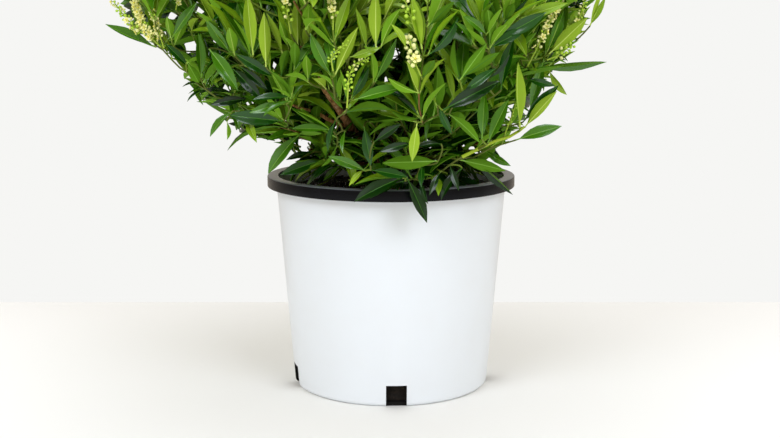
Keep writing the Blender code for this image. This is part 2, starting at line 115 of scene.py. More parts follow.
def direction(azimuth: float, elevation: float) -> Vector:
    """Returns a unit vector.

    Args:
        azimuth: Degrees round +Z from +X.
        elevation: Degrees above level.

    Returns:
        The vector.
    """
    turn = math.radians(azimuth)
    rise = math.radians(elevation)
    level = math.cos(rise)
    return Vector((math.cos(turn) * level, math.sin(turn) * level, math.sin(rise)))


def across(way: Vector) -> tuple[Vector, Vector]:
    """Finds two unit vectors square to a way and to each other.

    Args:
        way: The way.

    Returns:
        The two vectors, the first one level.
    """
    side = way.cross(UP)
    if side.length < 1e-4:
        side = way.cross(Vector((1.0, 0.0, 0.0)))
    side.normalize()
    return side, way.cross(side).normalized()


def around(way: Vector, turn: float) -> Vector:
    """Returns the unit vector square to this one at a turn round it."""
    side, other = across(way)
    return side * math.cos(turn) + other * math.sin(turn)


def azimuth_gap(point: Vector, azimuth: float) -> float:
    """Returns how far round the pot's axis a point lies from an azimuth, in degrees."""
    turn = math.degrees(math.atan2(point.y, point.x))
    return abs((turn - azimuth + 180.0) % 360.0 - 180.0)


def linear(code: str) -> tuple[float, float, float, float]:
    """Turns an sRGB hex code such as #1F4A12 into linear red, green, blue and alpha."""
    shares = [int(code[place:place + 2], 16) / 255.0 for place in (1, 3, 5)]
    return (*(s / 12.92 if s <= 0.04045 else ((s + 0.055) / 1.055) ** 2.4 for s in shares), 1.0)


def add_node(tree: NodeTree, kind: str, inputs: dict | None = None, **settings: object) -> Node:
    """Adds a node to a tree.

    Args:
        tree: The shader or geometry tree.
        kind: The node's type name.
        inputs: A value, or a socket to link, for each input by its name or number.
        **settings: The node's own properties.

    Returns:
        The node.
    """
    node = tree.nodes.new(kind)
    for name, value in settings.items():
        setattr(node, name, value)
    for key, value in (inputs or {}).items():
        if isinstance(value, NodeSocket):
            tree.links.new(value, node.inputs[key])
        else:
            node.inputs[key].default_value = value
    return node


# Finishes


@dataclass(frozen=True)
class Finish:
    """A plain Principled finish, to which a kind of finish may add its pattern."""

    name: str
    colour: str
    roughness: float
    ior: float = 1.46
    coat: float = 0.0
    coat_roughness: float = 0.15

    def material(self) -> Material:
        """Finds the finish's material, made when it is first asked for.

        Returns:
            The material.
        """
        made = bpy.data.materials.get(self.name)
        if made:
            return made
        made = bpy.data.materials.new(self.name)
        made.use_nodes = True
        made.diffuse_color = linear(self.colour)
        shader = made.node_tree.nodes["Principled BSDF"]
        shader.inputs["Base Color"].default_value = linear(self.colour)
        shader.inputs["Roughness"].default_value = self.roughness
        shader.inputs["IOR"].default_value = self.ior
        shader.inputs["Coat Weight"].default_value = self.coat
        shader.inputs["Coat Roughness"].default_value = self.coat_roughness
        self.pattern(made.node_tree, shader)
        return made

    def pattern(self, tree: NodeTree, shader: Node) -> None:
        """Adds the pattern of this kind of finish: none on a plain one."""


@dataclass(frozen=True)
class MouldedPlastic(Finish):
    """An injection-moulded plastic: even colour, with a faint orange peel under the light."""

    worn_colour: str = "#FFFFFF"
    worn_share: float = 0.1
    grain_mm: float = 1.6
    grain_depth_mm: float = 0.04
    scuff_mm: float = 30.0
    worn_from: float = 0.42
    worn_to: float = 0.78
    smoother: float = 0.06
    rougher: float = 0.08
    # A pale colour laid on faces by how far up they face: a painted highlight
    highlight_colour: str = "#B4B8C2"
    highlight_share: float = 0.0
    highlight_from: float = 0.55
    highlight_to: float = 0.95

    def pattern(self, tree: NodeTree, shader: Node) -> None:
        """Adds a fine bump, a cloudy scuffing in colour and roughness, and a painted highlight on what faces
        up.

        Args:
            tree: The material's tree.
            shader: Its Principled node.
        """
        place = add_node(tree, "ShaderNodeTexCoord").outputs["Object"]
        grain = add_node(
            tree, "ShaderNodeTexNoise",
            {"Vector": place, "Scale": 1.0 / (self.grain_mm * MM), "Detail": 2.0},
        )
        clouds = add_node(
            tree, "ShaderNodeTexNoise",
            {"Vector": place, "Scale": 1.0 / (self.scuff_mm * MM), "Detail": 5.0, "Roughness": 0.6},
        ).outputs["Fac"]
        share = add_node(
            tree, "ShaderNodeMapRange",
            {"Value": clouds, 1: self.worn_from, 2: self.worn_to, 3: 0.0, 4: self.worn_share},
        )
        colour = add_node(
            tree, "ShaderNodeMix",
            {0: share.outputs["Result"], 6: linear(self.colour), 7: linear(self.worn_colour)},
            data_type="RGBA",
        )
        # Faces that look up are paled: a painted highlight, as of light caught on the top
        if self.highlight_share > 0.0:
            normal = add_node(tree, "ShaderNodeNewGeometry").outputs["Normal"]
            height = add_node(tree, "ShaderNodeSeparateXYZ", {"Vector": normal}).outputs["Z"]
            highlight_mix = add_node(
                tree, "ShaderNodeMapRange",
                {"Value": height, 1: self.highlight_from, 2: self.highlight_to, 3: 0.0, 4: self.highlight_share},
            )
            colour = add_node(
                tree, "ShaderNodeMix",
                {0: highlight_mix.outputs["Result"], 6: colour.outputs[2], 7: linear(self.highlight_colour)},
                data_type="RGBA",
            )
        rough = add_node(
            tree, "ShaderNodeMapRange",
            {"Value": clouds, 3: self.roughness - self.smoother, 4: self.roughness + self.rougher},
        )
        bump = add_node(
            tree, "ShaderNodeBump",
            {"Height": grain.outputs["Fac"], "Distance": self.grain_depth_mm * MM, "Strength": 0.3},
        )
        tree.links.new(colour.outputs[2], shader.inputs["Base Color"])
        tree.links.new(rough.outputs["Result"], shader.inputs["Roughness"])
        tree.links.new(bump.outputs["Normal"], shader.inputs["Normal"])


@dataclass(frozen=True)
class Mottled(Finish):
    """A natural matt skin, such as bark or damp mix: three tones that run along the grain."""

    dark: str = "#000000"
    light: str = "#FFFFFF"
    grain_mm: float = 3.0
    stretch: float = 1.0
    depth_mm: float = 0.4
    dark_at: float = 0.30
    middle_at: float = 0.52
    light_at: float = 0.72

    def pattern(self, tree: NodeTree, shader: Node) -> None:
        """Adds the tones and their bump, drawn out along Z by the stretch.

        Args:
            tree: The material's tree.
            shader: Its Principled node.
        """
        place = add_node(tree, "ShaderNodeTexCoord").outputs["Object"]
        drawn = add_node(
            tree, "ShaderNodeMapping", {"Vector": place, "Scale": (1.0, 1.0, 1.0 / self.stretch)}
        ).outputs["Vector"]
        grain = add_node(
            tree, "ShaderNodeTexNoise",
            {"Vector": drawn, "Scale": 1.0 / (self.grain_mm * MM), "Detail": 6.0, "Roughness": 0.65},
        ).outputs["Fac"]
        ramp = add_node(tree, "ShaderNodeValToRGB", {"Fac": grain})
        ramp.color_ramp.elements[0].position = self.dark_at
        ramp.color_ramp.elements[0].color = linear(self.dark)
        ramp.color_ramp.elements[1].position = self.light_at
        ramp.color_ramp.elements[1].color = linear(self.light)
        ramp.color_ramp.elements.new(self.middle_at).color = linear(self.colour)
        bump = add_node(
            tree, "ShaderNodeBump", {"Height": grain, "Distance": self.depth_mm * MM, "Strength": 0.8}
        )
        tree.links.new(ramp.outputs["Color"], shader.inputs["Base Color"])
        tree.links.new(bump.outputs["Normal"], shader.inputs["Normal"])


# Satin polypropylene, moulded: soft wide highlights on white
WHITE_PLASTIC = MouldedPlastic(
    "moulded_white_polypropylene", "#E8EEF3", 0.36, ior=1.45, worn_colour="#E3E5E6", worn_share=0.15
)
# The pot's floor behind the drain slots: painted shade, a near-black for the dark seen inside the slots
SLOT_SHADE_PLASTIC = Finish("peat_stained_polypropylene", "#0C0B0A", 0.80, ior=1.3)
# Black polyethylene, moulded: nearly black, with faint grey scuffs and a painted pale highlight on what faces
# up
BLACK_PLASTIC = MouldedPlastic(
    "moulded_black_polyethylene", "#040509", 0.24, ior=1.22, worn_colour="#191A22", worn_share=0.22,
    scuff_mm=14.0, highlight_share=0.55,
)
# Damp bark and peat: nearly black, with brown fibres
MIX = Mottled(
    "damp_bark_and_peat_mix", "#1B1510", 0.92, dark="#0B0906", light="#33281E", grain_mm=4.0,
    depth_mm=0.8,
)
# Composted bark and peat: dull crumbs in three browns
CHIP_DARK = Finish("composted_bark_chip_dark", "#231B14", 0.88)
CHIP_BROWN = Finish("composted_bark_chip_brown", "#3E2D1E", 0.85)
CHIP_BLACK = Finish("damp_peat_crumb", "#110D0A", 0.95)
# Expanded volcanic glass: white crumbs
PERLITE = Finish("expanded_perlite", "#E6E4DC", 0.75)
# Cherry laurel bark: thin and brown, with lighter peeling flakes
BARK = Mottled(
    "peeling_laurel_bark", "#6E4A2C", 0.82, dark="#2E1C10", light="#B98A5C", grain_mm=4.0,
    stretch=3.0, depth_mm=0.8,
)
# The same bark on old stems: orange-brown with peeling flakes, and painted lighter as painted light on stems
# that the leaves above shade
LIGHTENED_OLD_BARK = Mottled(
    "sunlit_old_laurel_bark", "#CE965A", 0.78, dark="#7A4E26", light="#F2D0A2", grain_mm=3.0,
    stretch=3.5, depth_mm=0.7,
)
# Young wood and stalks: smoother and greener the younger they are
YOUNG_BARK = Finish("second_year_laurel_bark", "#7C5A26", 0.62)
GREEN_BARK = Finish("first_year_laurel_bark", "#5E6A26", 0.55, ior=1.3)
GREEN_STEM = Finish("green_laurel_stem", "#728A2A", 0.50, ior=1.3)
SAPPY_STEM = Finish("sappy_spring_stem", "#9CB42C", 0.45, ior=1.3)
FLOWER_STALK = Finish("pale_flower_stalk", "#A4C040", 0.50, ior=1.3)
# Buds and flowers: green buds that turn cream, and cream petals round yellow stamens
BUD_GREEN = Finish("green_flower_bud", "#B6DC3E", 0.45)
BUD_CREAM = Finish("cream_flower_bud", "#F0F2A4", 0.45)
PETAL = Finish("cream_petal", "#F9F7A4", 0.55)
STAMEN = Finish("yellow_stamen", "#ECE04A", 0.60)
# Matt paint: pale, with hardly a reflection
FLOOR = Finish("matt_painted_floor", "#F0F0EC", 0.9, ior=1.1)


class Tone(IntEnum):
    """How old a leaf is, from last year's dark ones to this spring's yellow-green ones."""

    OLD = 0
    DARK = 1
    MID = 2
    FRESH = 3
    YOUNG = 4


class Part(IntEnum):
    """The parts of a leaf that differ in colour."""

    UPPER = 0
    RIB = 1
    UNDER = 2


@dataclass(frozen=True)
class LeafGreen:
    """The greens of one tone of leaf. The waxy skin is glossier on the upper side."""

    upper: str
    rib: str
    under: str
    gloss: float
    rib_share: float = 0.5
    roughnesses: tuple[float, float, float] = (0.42, 0.46, 0.56)
    ior: float = 1.15
    coat_roughness: float = 0.17

    def finish(self, tone: Tone, part: Part) -> Finish:
        """Returns the finish of one part of a leaf of this tone.

        Args:
            tone: The tone, which names the finish.
            part: The part of the leaf.

        Returns:
            The finish.
        """
        colour = (self.upper, self.rib, self.under)[part]
        coat = (self.gloss, self.gloss * self.rib_share, 0.0)[part]
        name = f"waxy_{tone.name.lower()}_leaf_{part.name.lower()}"
        return Finish(name, colour, self.roughnesses[part], self.ior, coat, self.coat_roughness)


GREENS: dict[Tone, LeafGreen] = {
    Tone.OLD: LeafGreen("#072C00", "#386A1C", "#4E7814", 0.65),
    Tone.DARK: LeafGreen("#144A04", "#4A8226", "#568218", 0.75),
    Tone.MID: LeafGreen("#447A0C", "#7CAE3C", "#58861A", 0.85),
    Tone.FRESH: LeafGreen("#7A9F1A", "#A4C654", "#6E9E22", 0.50),
    Tone.YOUNG: LeafGreen("#93B62D", "#C0D868", "#8FB030", 0.35),
}


# Meshes and pieces


def mesh_object(name: str, mesh: Mesh) -> Object:
    """Links an object that shows a mesh.

    Args:
        name: The object's name.
        mesh: The mesh.

    Returns:
        The object.
    """
    obj = bpy.data.objects.new(name, mesh)
    bpy.context.scene.collection.objects.link(obj)
    return obj


def mesh_of(name: str, bm: bmesh.types.BMesh) -> Mesh:
    """Keeps what was built as a mesh, and frees the builder.

    Args:
        name: The mesh's name.
        bm: What was built.

    Returns:
        The mesh.
    """
    mesh = bpy.data.meshes.new(name)
    bm.to_mesh(mesh)
    bm.free()
    return mesh


def mesh_from(name: str, points: Sequence[Vector], faces: Sequence[Sequence[int]]) -> Mesh:
    """Makes a mesh of points and faces, with its faces turned outwards.

    Args:
        name: The mesh's name.
        points: Its points.
        faces: Its faces, each by its points' numbers.

    Returns:
        The mesh.
    """
    mesh = bpy.data.meshes.new(name)
    mesh.from_pydata([tuple(point) for point in points], [], [tuple(face) for face in faces])
    bm = bmesh.new()
    bm.from_mesh(mesh)
    bmesh.ops.recalc_face_normals(bm, faces=bm.faces)
    bm.to_mesh(mesh)
    bm.free()
    return mesh


def settled(obj: Object) -> Object:
    """Turns an object's modifiers into its mesh.

    Args:
        obj: The object.

    Returns:
        The same object.
    """
    graph = bpy.context.evaluated_depsgraph_get()
    mesh = bpy.data.meshes.new_from_object(obj.evaluated_get(graph))
    obj.modifiers.clear()
    obj.data = mesh
    mesh.name = obj.name
    return obj


def grown(obj: Object, tree: NodeTree, values: dict[str, float]) -> Object:
    """Runs a Geometry Nodes tree on an object and keeps the result as its mesh.

    Args:
        obj: The object that holds the tree's input.
        tree: The tree.
        values: The value of each named input.

    Returns:
        The object, with a plain mesh and no modifier.
    """
    step = obj.modifiers.new("growth", "NODES")
    step.node_group = tree
    for item in tree.interface.items_tree:
        if item.item_type == "SOCKET" and item.in_out == "INPUT" and item.name in values:
            step[item.identifier] = values[item.name]
    return settled(obj)


def finished(obj: Object, replaced: Iterable[str] = ()) -> Object:
    """Makes an object a piece: it rides on the plant's body and may stand for solids.

    Args:
        obj: The object, in place.
        replaced: The solids that it stands for.

    Returns:
        The object.
    """
    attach(obj, BODY)
    nodes = list(replaced)
    if nodes:
        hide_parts(*nodes)
    LOG.info("%s: %d faces", obj.name, len(obj.data.polygons))
    return obj


# The camera and the studio


@dataclass(frozen=True)
class Viewpoint:
    """The camera: a little above the rim, in front of the pot, looking slightly down."""

    side: float = -0.0011
    distance: float = 1.350
    height: float = 0.4114
    pitch: float = 9.42
    lens_mm: float = 55.13
    sensor_mm: float = 36.0
    clips: tuple[float, float] = (0.05, 60.0)
    picture: tuple[int, int] = (780, 438)

    def build(self) -> None:
        """Makes the scene's camera."""
        data = bpy.data.cameras.new("camera")
        data.lens = self.lens_mm
        data.sensor_width = self.sensor_mm
        data.clip_start, data.clip_end = self.clips
        camera = bpy.data.objects.new("camera", data)
        camera.location = (self.side, -self.distance, self.height)
        camera.rotation_euler = (math.radians(90.0 - self.pitch), 0.0, 0.0)
        bpy.context.scene.collection.objects.link(camera)
        bpy.context.scene.camera = camera

    def eye(self) -> Vector:
        """Returns the camera's place."""
        return Vector((self.side, -self.distance, self.height))

    def looks(self) -> tuple[Vector, Vector, float]:
        """Works out how the camera looks.

        Returns:
            The ways ahead and upwards, and how many pixels a metre takes at a metre's distance.
        """
        pitch = math.radians(self.pitch)
        ahead = Vector((0.0, math.cos(pitch), -math.sin(pitch)))
        upward = Vector((0.0, math.sin(pitch), math.cos(pitch)))
        return ahead, upward, self.lens_mm / self.sensor_mm * self.picture[0]

    def point_at(self, x: float, y: float, front: float) -> Vector:
        """Returns the point that is seen at a place in the picture.

        Args:
            x: The place's distance from the picture's left edge, in pixels.
            y: The place's distance from the picture's upper edge, in pixels.
            front: How far in front of the pot's axis the point lies, in mm.

        Returns:
            The point.
        """
        ahead, upward, scale = self.looks()
        level = (x - self.picture[0] / 2.0) / scale
        rise = (self.picture[1] / 2.0 - y) / scale
        ray = ahead + upward * rise + Vector((level, 0.0, 0.0))
        return self.eye() + ray * ((self.distance - front * MM) / ray.y)

    def place_of(self, point: Vector) -> tuple[float, float]:
        """Finds where in the picture a point is seen.

        Args:
            point: The point.

        Returns:
            Its place from the picture's upper left corner, in pixels.
        """
        ahead, upward, scale = self.looks()
        way = point - self.eye()
        depth = way.dot(ahead)
        x = self.picture[0] / 2.0 + way.x / depth * scale
        return x, self.picture[1] / 2.0 - way.dot(upward) / depth * scale


@dataclass(frozen=True)
class SoftBox:
    """A soft area light, turned to the plant."""

    name: str
    place: tuple[float, float, float]
    size: tuple[float, float]
    watts: float
    colour: str

    def build(self, aim: Vector) -> None:
        """Hangs the light.

        Args:
            aim: The point that it is turned to.
        """
        data = bpy.data.lights.new(self.name, "AREA")
        data.shape = "RECTANGLE"
        data.size, data.size_y = self.size
        data.energy = self.watts
        data.color = linear(self.colour)[:3]
        lamp = bpy.data.objects.new(self.name, data)
        lamp.location = self.place
        lamp.rotation_euler = (aim - Vector(self.place)).to_track_quat("-Z", "Y").to_euler()
        bpy.context.scene.collection.objects.link(lamp)


@dataclass(frozen=True)
class Studio:
    """A plain pale floor that ends before a pale wall, under soft lights."""

    left: float = -1.7
    right: float = 1.7
    front: float = -1.9
    back: float = 0.377
    wall: str = "#F6F6F4"
    room_light: float = 0.58
    room_tint: str = "#FFF2E0"
    aim: tuple[float, float, float] = (0.0, 0.0, 0.34)
    lights: tuple[SoftBox, ...] = (
        SoftBox("key_softbox", (-1.85, -2.5, 2.65), (1.8, 1.6), 63.0, "#ECF2FF"),
        SoftBox("fill_softbox", (1.85, -2.5, 2.55), (1.8, 1.6), 54.0, "#ECF2FF"),
        SoftBox("top_softbox", (0.0, -0.1, 2.4), (1.8, 1.6), 21.0, "#E8F0FF"),
        SoftBox("back_softbox", (0.0, 1.5, 2.5), (2.2, 1.4), 14.0, "#F4F8FF"),
    )

    def build(self) -> None:
        """Makes the floor, the room and the lights."""
        corners = [
            (self.left, self.front, 0.0), (self.right, self.front, 0.0),
            (self.right, self.back, 0.0), (self.left, self.back, 0.0),
        ]
        mesh = bpy.data.meshes.new("studio_floor")
        mesh.from_pydata(corners, [], [(0, 1, 2, 3)])
        mesh.materials.append(FLOOR.material())
        mesh_object("studio_floor", mesh)
        self.room()
        for light in self.lights:
            light.build(Vector(self.aim))
        bpy.context.scene.view_settings.view_transform = "Standard"

    def room(self) -> None:
        """Makes the room: a pale wall behind the floor, which lights less than it shows."""
        world = bpy.data.worlds.new("pale_room")
        bpy.context.scene.world = world
        world.use_nodes = True
        tree = world.node_tree
        tree.nodes.clear()
        seen = add_node(tree, "ShaderNodeBackground", {"Color": linear(self.wall), "Strength": 1.0})
        light = add_node(
            tree, "ShaderNodeBackground", {"Color": linear(self.room_tint), "Strength": self.room_light}
        )
        direct = add_node(tree, "ShaderNodeLightPath").outputs["Is Camera Ray"]
        both = add_node(tree, "ShaderNodeMixShader", {0: direct, 1: light.outputs[0], 2: seen.outputs[0]})
        add_node(tree, "ShaderNodeOutputWorld", {"Surface": both.outputs[0]})


# The pot


@dataclass(frozen=True)
class NurseryPot:
    """The white moulded pot with its black rim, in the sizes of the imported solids."""

    height: float = 0.240
    foot_radius: float = 0.111
    shoulder_radius: float = 0.1303
    wall: float = 0.0026
    floor: float = 0.0040
    foot_round: float = 0.0050
    rim_radius: float = 0.140
    rim_depth: float = 0.0122
    rim_thickness: float = 0.0030
    rim_round: float = 0.0016
    slot_width: float = 0.0225
    slot_height: float = 0.0242
    slot_depth: float = 0.010
    sill_depth: float = 0.0045
    slot_azimuths: tuple[float, ...] = (195.0, 273.0, 357.0, 93.0)
    sides: int = 192
    round_steps: int = 5
    sharp_degrees: float = 32.0
    weld: float = 1e-6
    # How far in from the wall, and how far round past a slot's sides, the painted shade behind the slots
    # reaches
    shade_depth: float = 0.2
    shade_degrees: float = 0.1

    def wall_radius(self, height: float) -> float:
        """Returns the wall's outer radius at this height."""
        return mixed(self.foot_radius, self.shoulder_radius, height / (self.height - self.rim_thickness))

    def rounded(
        self, centre: tuple[float, float], radius: float, first: float, last: float
    ) -> list[tuple[float, float]]:
        """Returns a round corner's points as (radius, height), between two angles in degrees."""
        angles = [math.radians(mixed(first, last, share)) for share in steps(self.round_steps + 1)]
        return [(centre[0] + math.cos(a) * radius, centre[1] + math.sin(a) * radius) for a in angles]

    def turned(self, name: str, profile: Sequence[tuple[float, float]]) -> Object:
        """Spins a closed profile round the pot's axis.

        Args:
            name: The piece's name.
            profile: Its corners as (radius, height).

        Returns:
            The piece.
        """
        bm = bmesh.new()
        verts = [bm.verts.new((radius, 0.0, height)) for radius, height in profile]
        edges = [bm.edges.new(pair) for pair in zip(verts, verts[1:] + verts[:1])]
        bmesh.ops.spin(
            bm, geom=verts + edges, axis=UP, cent=(0.0, 0.0, 0.0), angle=math.tau,
            steps=self.sides, use_merge=True,
        )
        bmesh.ops.remove_doubles(bm, verts=bm.verts, dist=self.weld)
        bmesh.ops.recalc_face_normals(bm, faces=bm.faces)
        return mesh_object(name, mesh_of(name, bm))

    def smoothed(self, obj: Object, finish: Finish) -> Object:
        """Shades a turned piece smooth between its true corners and gives it its finish.

        Args:
            obj: The piece.
            finish: Its finish.

        Returns:
            The same piece.
        """
        obj.data.shade_smooth()
        obj.data.set_sharp_from_angle(angle=math.radians(self.sharp_degrees))
        obj.data.materials.clear()
        obj.data.materials.append(finish.material())
        return obj

    def cut_slots(self, obj: Object, depth: float) -> None:
        """Cuts the drain slots into a piece.

        Args:
            obj: The piece.
            depth: How deep they go in from the foot's edge.
        """
        bm = bmesh.new()
        height = self.slot_height + self.slot_depth
        for azimuth in self.slot_azimuths:
            place = (
                Matrix.Rotation(math.radians(azimuth), 4, "Z")
                @ Matrix.Translation((self.foot_radius, 0.0, self.slot_height - height / 2.0))
                @ Matrix.Diagonal((depth * 2.0, self.slot_width, height, 1.0))
            )
            bmesh.ops.create_cube(bm, size=1.0, matrix=place)
        blocks = mesh_object("slot_blocks", mesh_of("slot_blocks", bm))
        step = obj.modifiers.new("slots", "BOOLEAN")
        step.operation = "DIFFERENCE"
        step.solver = "EXACT"
        step.object = blocks
        settled(obj)
        bpy.data.objects.remove(blocks, do_unlink=True)

    def shell(self) -> Object:
        """Builds the white wall and floor with its drain slots.

        Returns:
            The shell.
        """
        top = self.height - self.rim_thickness
        foot = self.foot_round
        profile = [(0.0, 0.0)]
        profile += self.rounded((self.wall_radius(foot) - foot, foot), foot, -90.0, 0.0)
        profile += [
            (self.wall_radius(top), top),
            (self.wall_radius(top) - self.wall, top),
            (self.wall_radius(self.floor) - self.wall, self.floor),
            (0.0, self.floor),
        ]
        shell = self.turned("white_pot_shell", profile)
        self.cut_slots(shell, self.sill_depth)
        self.smoothed(shell, WHITE_PLASTIC)
        # Near-black on the floor behind the slots: painted shade for the dark inside them
        shell.data.materials.append(SLOT_SHADE_PLASTIC.material())
        for face in shell.data.polygons:
            if self.in_slot(face.center):
                face.material_index = 1
        return shell

    def in_slot(self, point: Vector) -> bool:
        """Tells whether a point of the shell is on the floor behind a drain slot, which gets the painted
        shade.

        Args:
            point: The point.

        Returns:
            Whether it is.
        """
        inside = math.hypot(point.x, point.y) < self.wall_radius(point.z) - self.wall * self.shade_depth
        if not inside or not 0.0 < point.z < self.slot_height:
            return False
        half = math.degrees(self.slot_width / 2.0 / (self.foot_radius - self.wall)) + self.shade_degrees
        return any(azimuth_gap(point, slot) < half for slot in self.slot_azimuths)

    def rim(self) -> Object:
        """Builds the black rim: a flat flange with a rounded edge and a skirt.

        Returns:
            The rim.
        """
        low = self.height - self.rim_thickness
        inner = self.wall_radius(low) - self.wall
        skirt = self.rim_radius - self.rim_thickness
        edge = self.rim_round
        foot = self.height - self.rim_depth
        profile = [(inner, low), (skirt, low), (skirt, foot)]
        profile += self.rounded((self.rim_radius - edge * 0.5, foot + edge * 0.5), edge * 0.5, -90.0, 0.0)
        profile += self.rounded((self.rim_radius - edge, self.height - edge), edge, 0.0, 90.0)
        profile += self.rounded((inner + edge * 0.5, self.height - edge * 0.5), edge * 0.5, 90.0, 180.0)
        return self.smoothed(self.turned("black_pot_rim", profile), BLACK_PLASTIC)

    def build(self) -> None:
        """Makes both mouldings and stands them for their solids."""
        finished(self.shell(), ["pot_shell"])
        finished(self.rim(), ["pot_rim"])


# The potting mix


@dataclass(frozen=True)
class PottingMix:
    """The filled mix: an uneven top, with bark chips and white perlite lying on it."""

    pot: NurseryPot
    low: float = 0.0043
    room: float = 0.0029
    relief: float = 0.0030
    swell_mm: float = 22.0
    fractal: tuple[float, float, int] = (0.6, 2.2, 4)
    lump_share: float = 0.9
    sink: float = 0.35
    cuts: int = 7
    rings: int = 26
    sides: int = 96
    chip: float = 0.0042
    chip_density: float = 42000.0
    perlite: float = 0.0020
    perlite_density: float = 15000.0
    seed: int = 11

    def height_at(self, x: float, y: float) -> float:
        """Returns the height of the mix's surface above a place on the floor."""
        lumps = noise.fractal(Vector((x, y, 0.0)) / (self.swell_mm * MM), *self.fractal)
        return MIX_TOP + self.relief * (self.lump_share * lumps - self.sink)

    def body(self) -> Object:
        """Builds the mix as one closed lump, with the drain slots' hollows in its side.

        Returns:
            The lump.
        """
        radius = self.pot.wall_radius(MIX_TOP) - self.room
        foot = self.pot.wall_radius(self.low) - self.room
        ways = turns(self.sides)
        points = [Vector((0.0, 0.0, self.height_at(0.0, 0.0)))]
        for ring in range(1, self.rings + 1):
            reach = radius * ring / self.rings
            for along, aside in ways:
                x, y = reach * along, reach * aside
                points.append(Vector((x, y, self.height_at(x, y))))
        points += [Vector((foot * along, foot * aside, self.low)) for along, aside in ways]
        points.append(Vector((0.0, 0.0, self.low)))
        edge = 1 + self.rings * self.sides
        faces = []
        for side in range(self.sides):
            after = (side + 1) % self.sides
            faces.append((0, 1 + side, 1 + after))
            for near in range(1, edge, self.sides):
                far = near + self.sides
                faces.append((near + side, far + side, far + after, near + after))
            faces.append((edge + side, len(points) - 1, edge + after))
        mesh = mesh_from("potting_mix_fill", points, faces)
        mesh.shade_smooth()
        fill = mesh_object("potting_mix_fill", mesh)
        self.pot.cut_slots(fill, self.pot.slot_depth)
        fill.data.materials.clear()
        fill.data.materials.append(MIX.material())
        return fill

    def ground(self) -> Object:
        """Builds the mix's upper surface alone, on which the grains are strewn.

        Returns:
            The surface.
        """
        radius = self.pot.wall_radius(MIX_TOP) - self.room - self.chip
        bm = bmesh.new()
        bmesh.ops.create_circle(bm, cap_ends=True, cap_tris=True, segments=self.sides, radius=radius)
        bmesh.ops.subdivide_edges(bm, edges=bm.edges, cuts=self.cuts, use_grid_fill=True)
        for vert in bm.verts:
            vert.co.z = self.height_at(vert.co.x, vert.co.y)
        return mesh_object("ground", mesh_of("ground", bm))

    def grains(self, name: str, finishes: Sequence[Finish], size: float, density: float, seed: int) -> None:
        """Strews grains over the mix.

        Args:
            name: The piece's name.
            finishes: The finishes among which the grains are dealt.
            size: A grain's usual length.
            density: How many lie on a square metre.
            seed: The seed of their places and turns.
        """
        values = {"Density": density, "Grain": size, "Seed": seed}
        grains = grown(self.ground(), strewn_tree(name, finishes), values)
        grains.name = grains.data.name = name
        finished(grains)

    def build(self) -> None:
        """Makes the fill and what lies on it."""
        finished(self.body(), ["potting_mix"])
        chips = (CHIP_DARK, CHIP_BROWN, CHIP_BLACK)
        self.grains("bark_chips", chips, self.chip, self.chip_density, self.seed)
        self.grains("perlite_grains", (PERLITE,), self.perlite, self.perlite_density, self.seed + 1)


def tree_with_inputs(name: str, inputs: dict[str, tuple[str, float]]) -> NodeTree:
    """Starts a Geometry Nodes tree.

    Args:
        name: The tree's name.
        inputs: The socket type and the value of each named input.

    Returns:
        The tree, with its geometry input and output and its named inputs.
    """
    tree = bpy.data.node_groups.new(name, "GeometryNodeTree")
    tree.interface.new_socket("Geometry", in_out="INPUT", socket_type="NodeSocketGeometry")
    tree.interface.new_socket("Geometry", in_out="OUTPUT", socket_type="NodeSocketGeometry")
    for label, (kind, value) in inputs.items():
        tree.interface.new_socket(label, in_out="INPUT", socket_type=kind).default_value = value
    return tree


def end_tree(tree: NodeTree, geometry: NodeSocket, finishes: Finishes, marks: Sequence[str]) -> None:
    """Ends a tree: its instances are made real, and each part is given its finish.

    Args:
        tree: The tree.
        geometry: What it made.
        finishes: The finish for each set of the marks' values.
        marks: The names of the whole-number attributes that choose it.
    """
    geometry = add_node(tree, "GeometryNodeRealizeInstances", {"Geometry": geometry}).outputs[0]
    for values, finish in finishes.items():
        chosen = None
        for mark, value in zip(marks, values):
            held = add_node(tree, "GeometryNodeInputNamedAttribute", {"Name": mark}, data_type="INT")
            same = add_node(
                tree, "FunctionNodeCompare", {2: held.outputs[0], 3: value}, data_type="INT",
                operation="EQUAL",
            ).outputs[0]
            if chosen is None:
                chosen = same
            else:
                chosen = add_node(tree, "FunctionNodeBooleanMath", {0: chosen, 1: same}).outputs[0]
        inputs = {"Geometry": geometry, "Material": finish.material(), "Selection": chosen}
        geometry = add_node(tree, "GeometryNodeSetMaterial", inputs).outputs[0]
    add_node(tree, "NodeGroupOutput", {0: geometry})


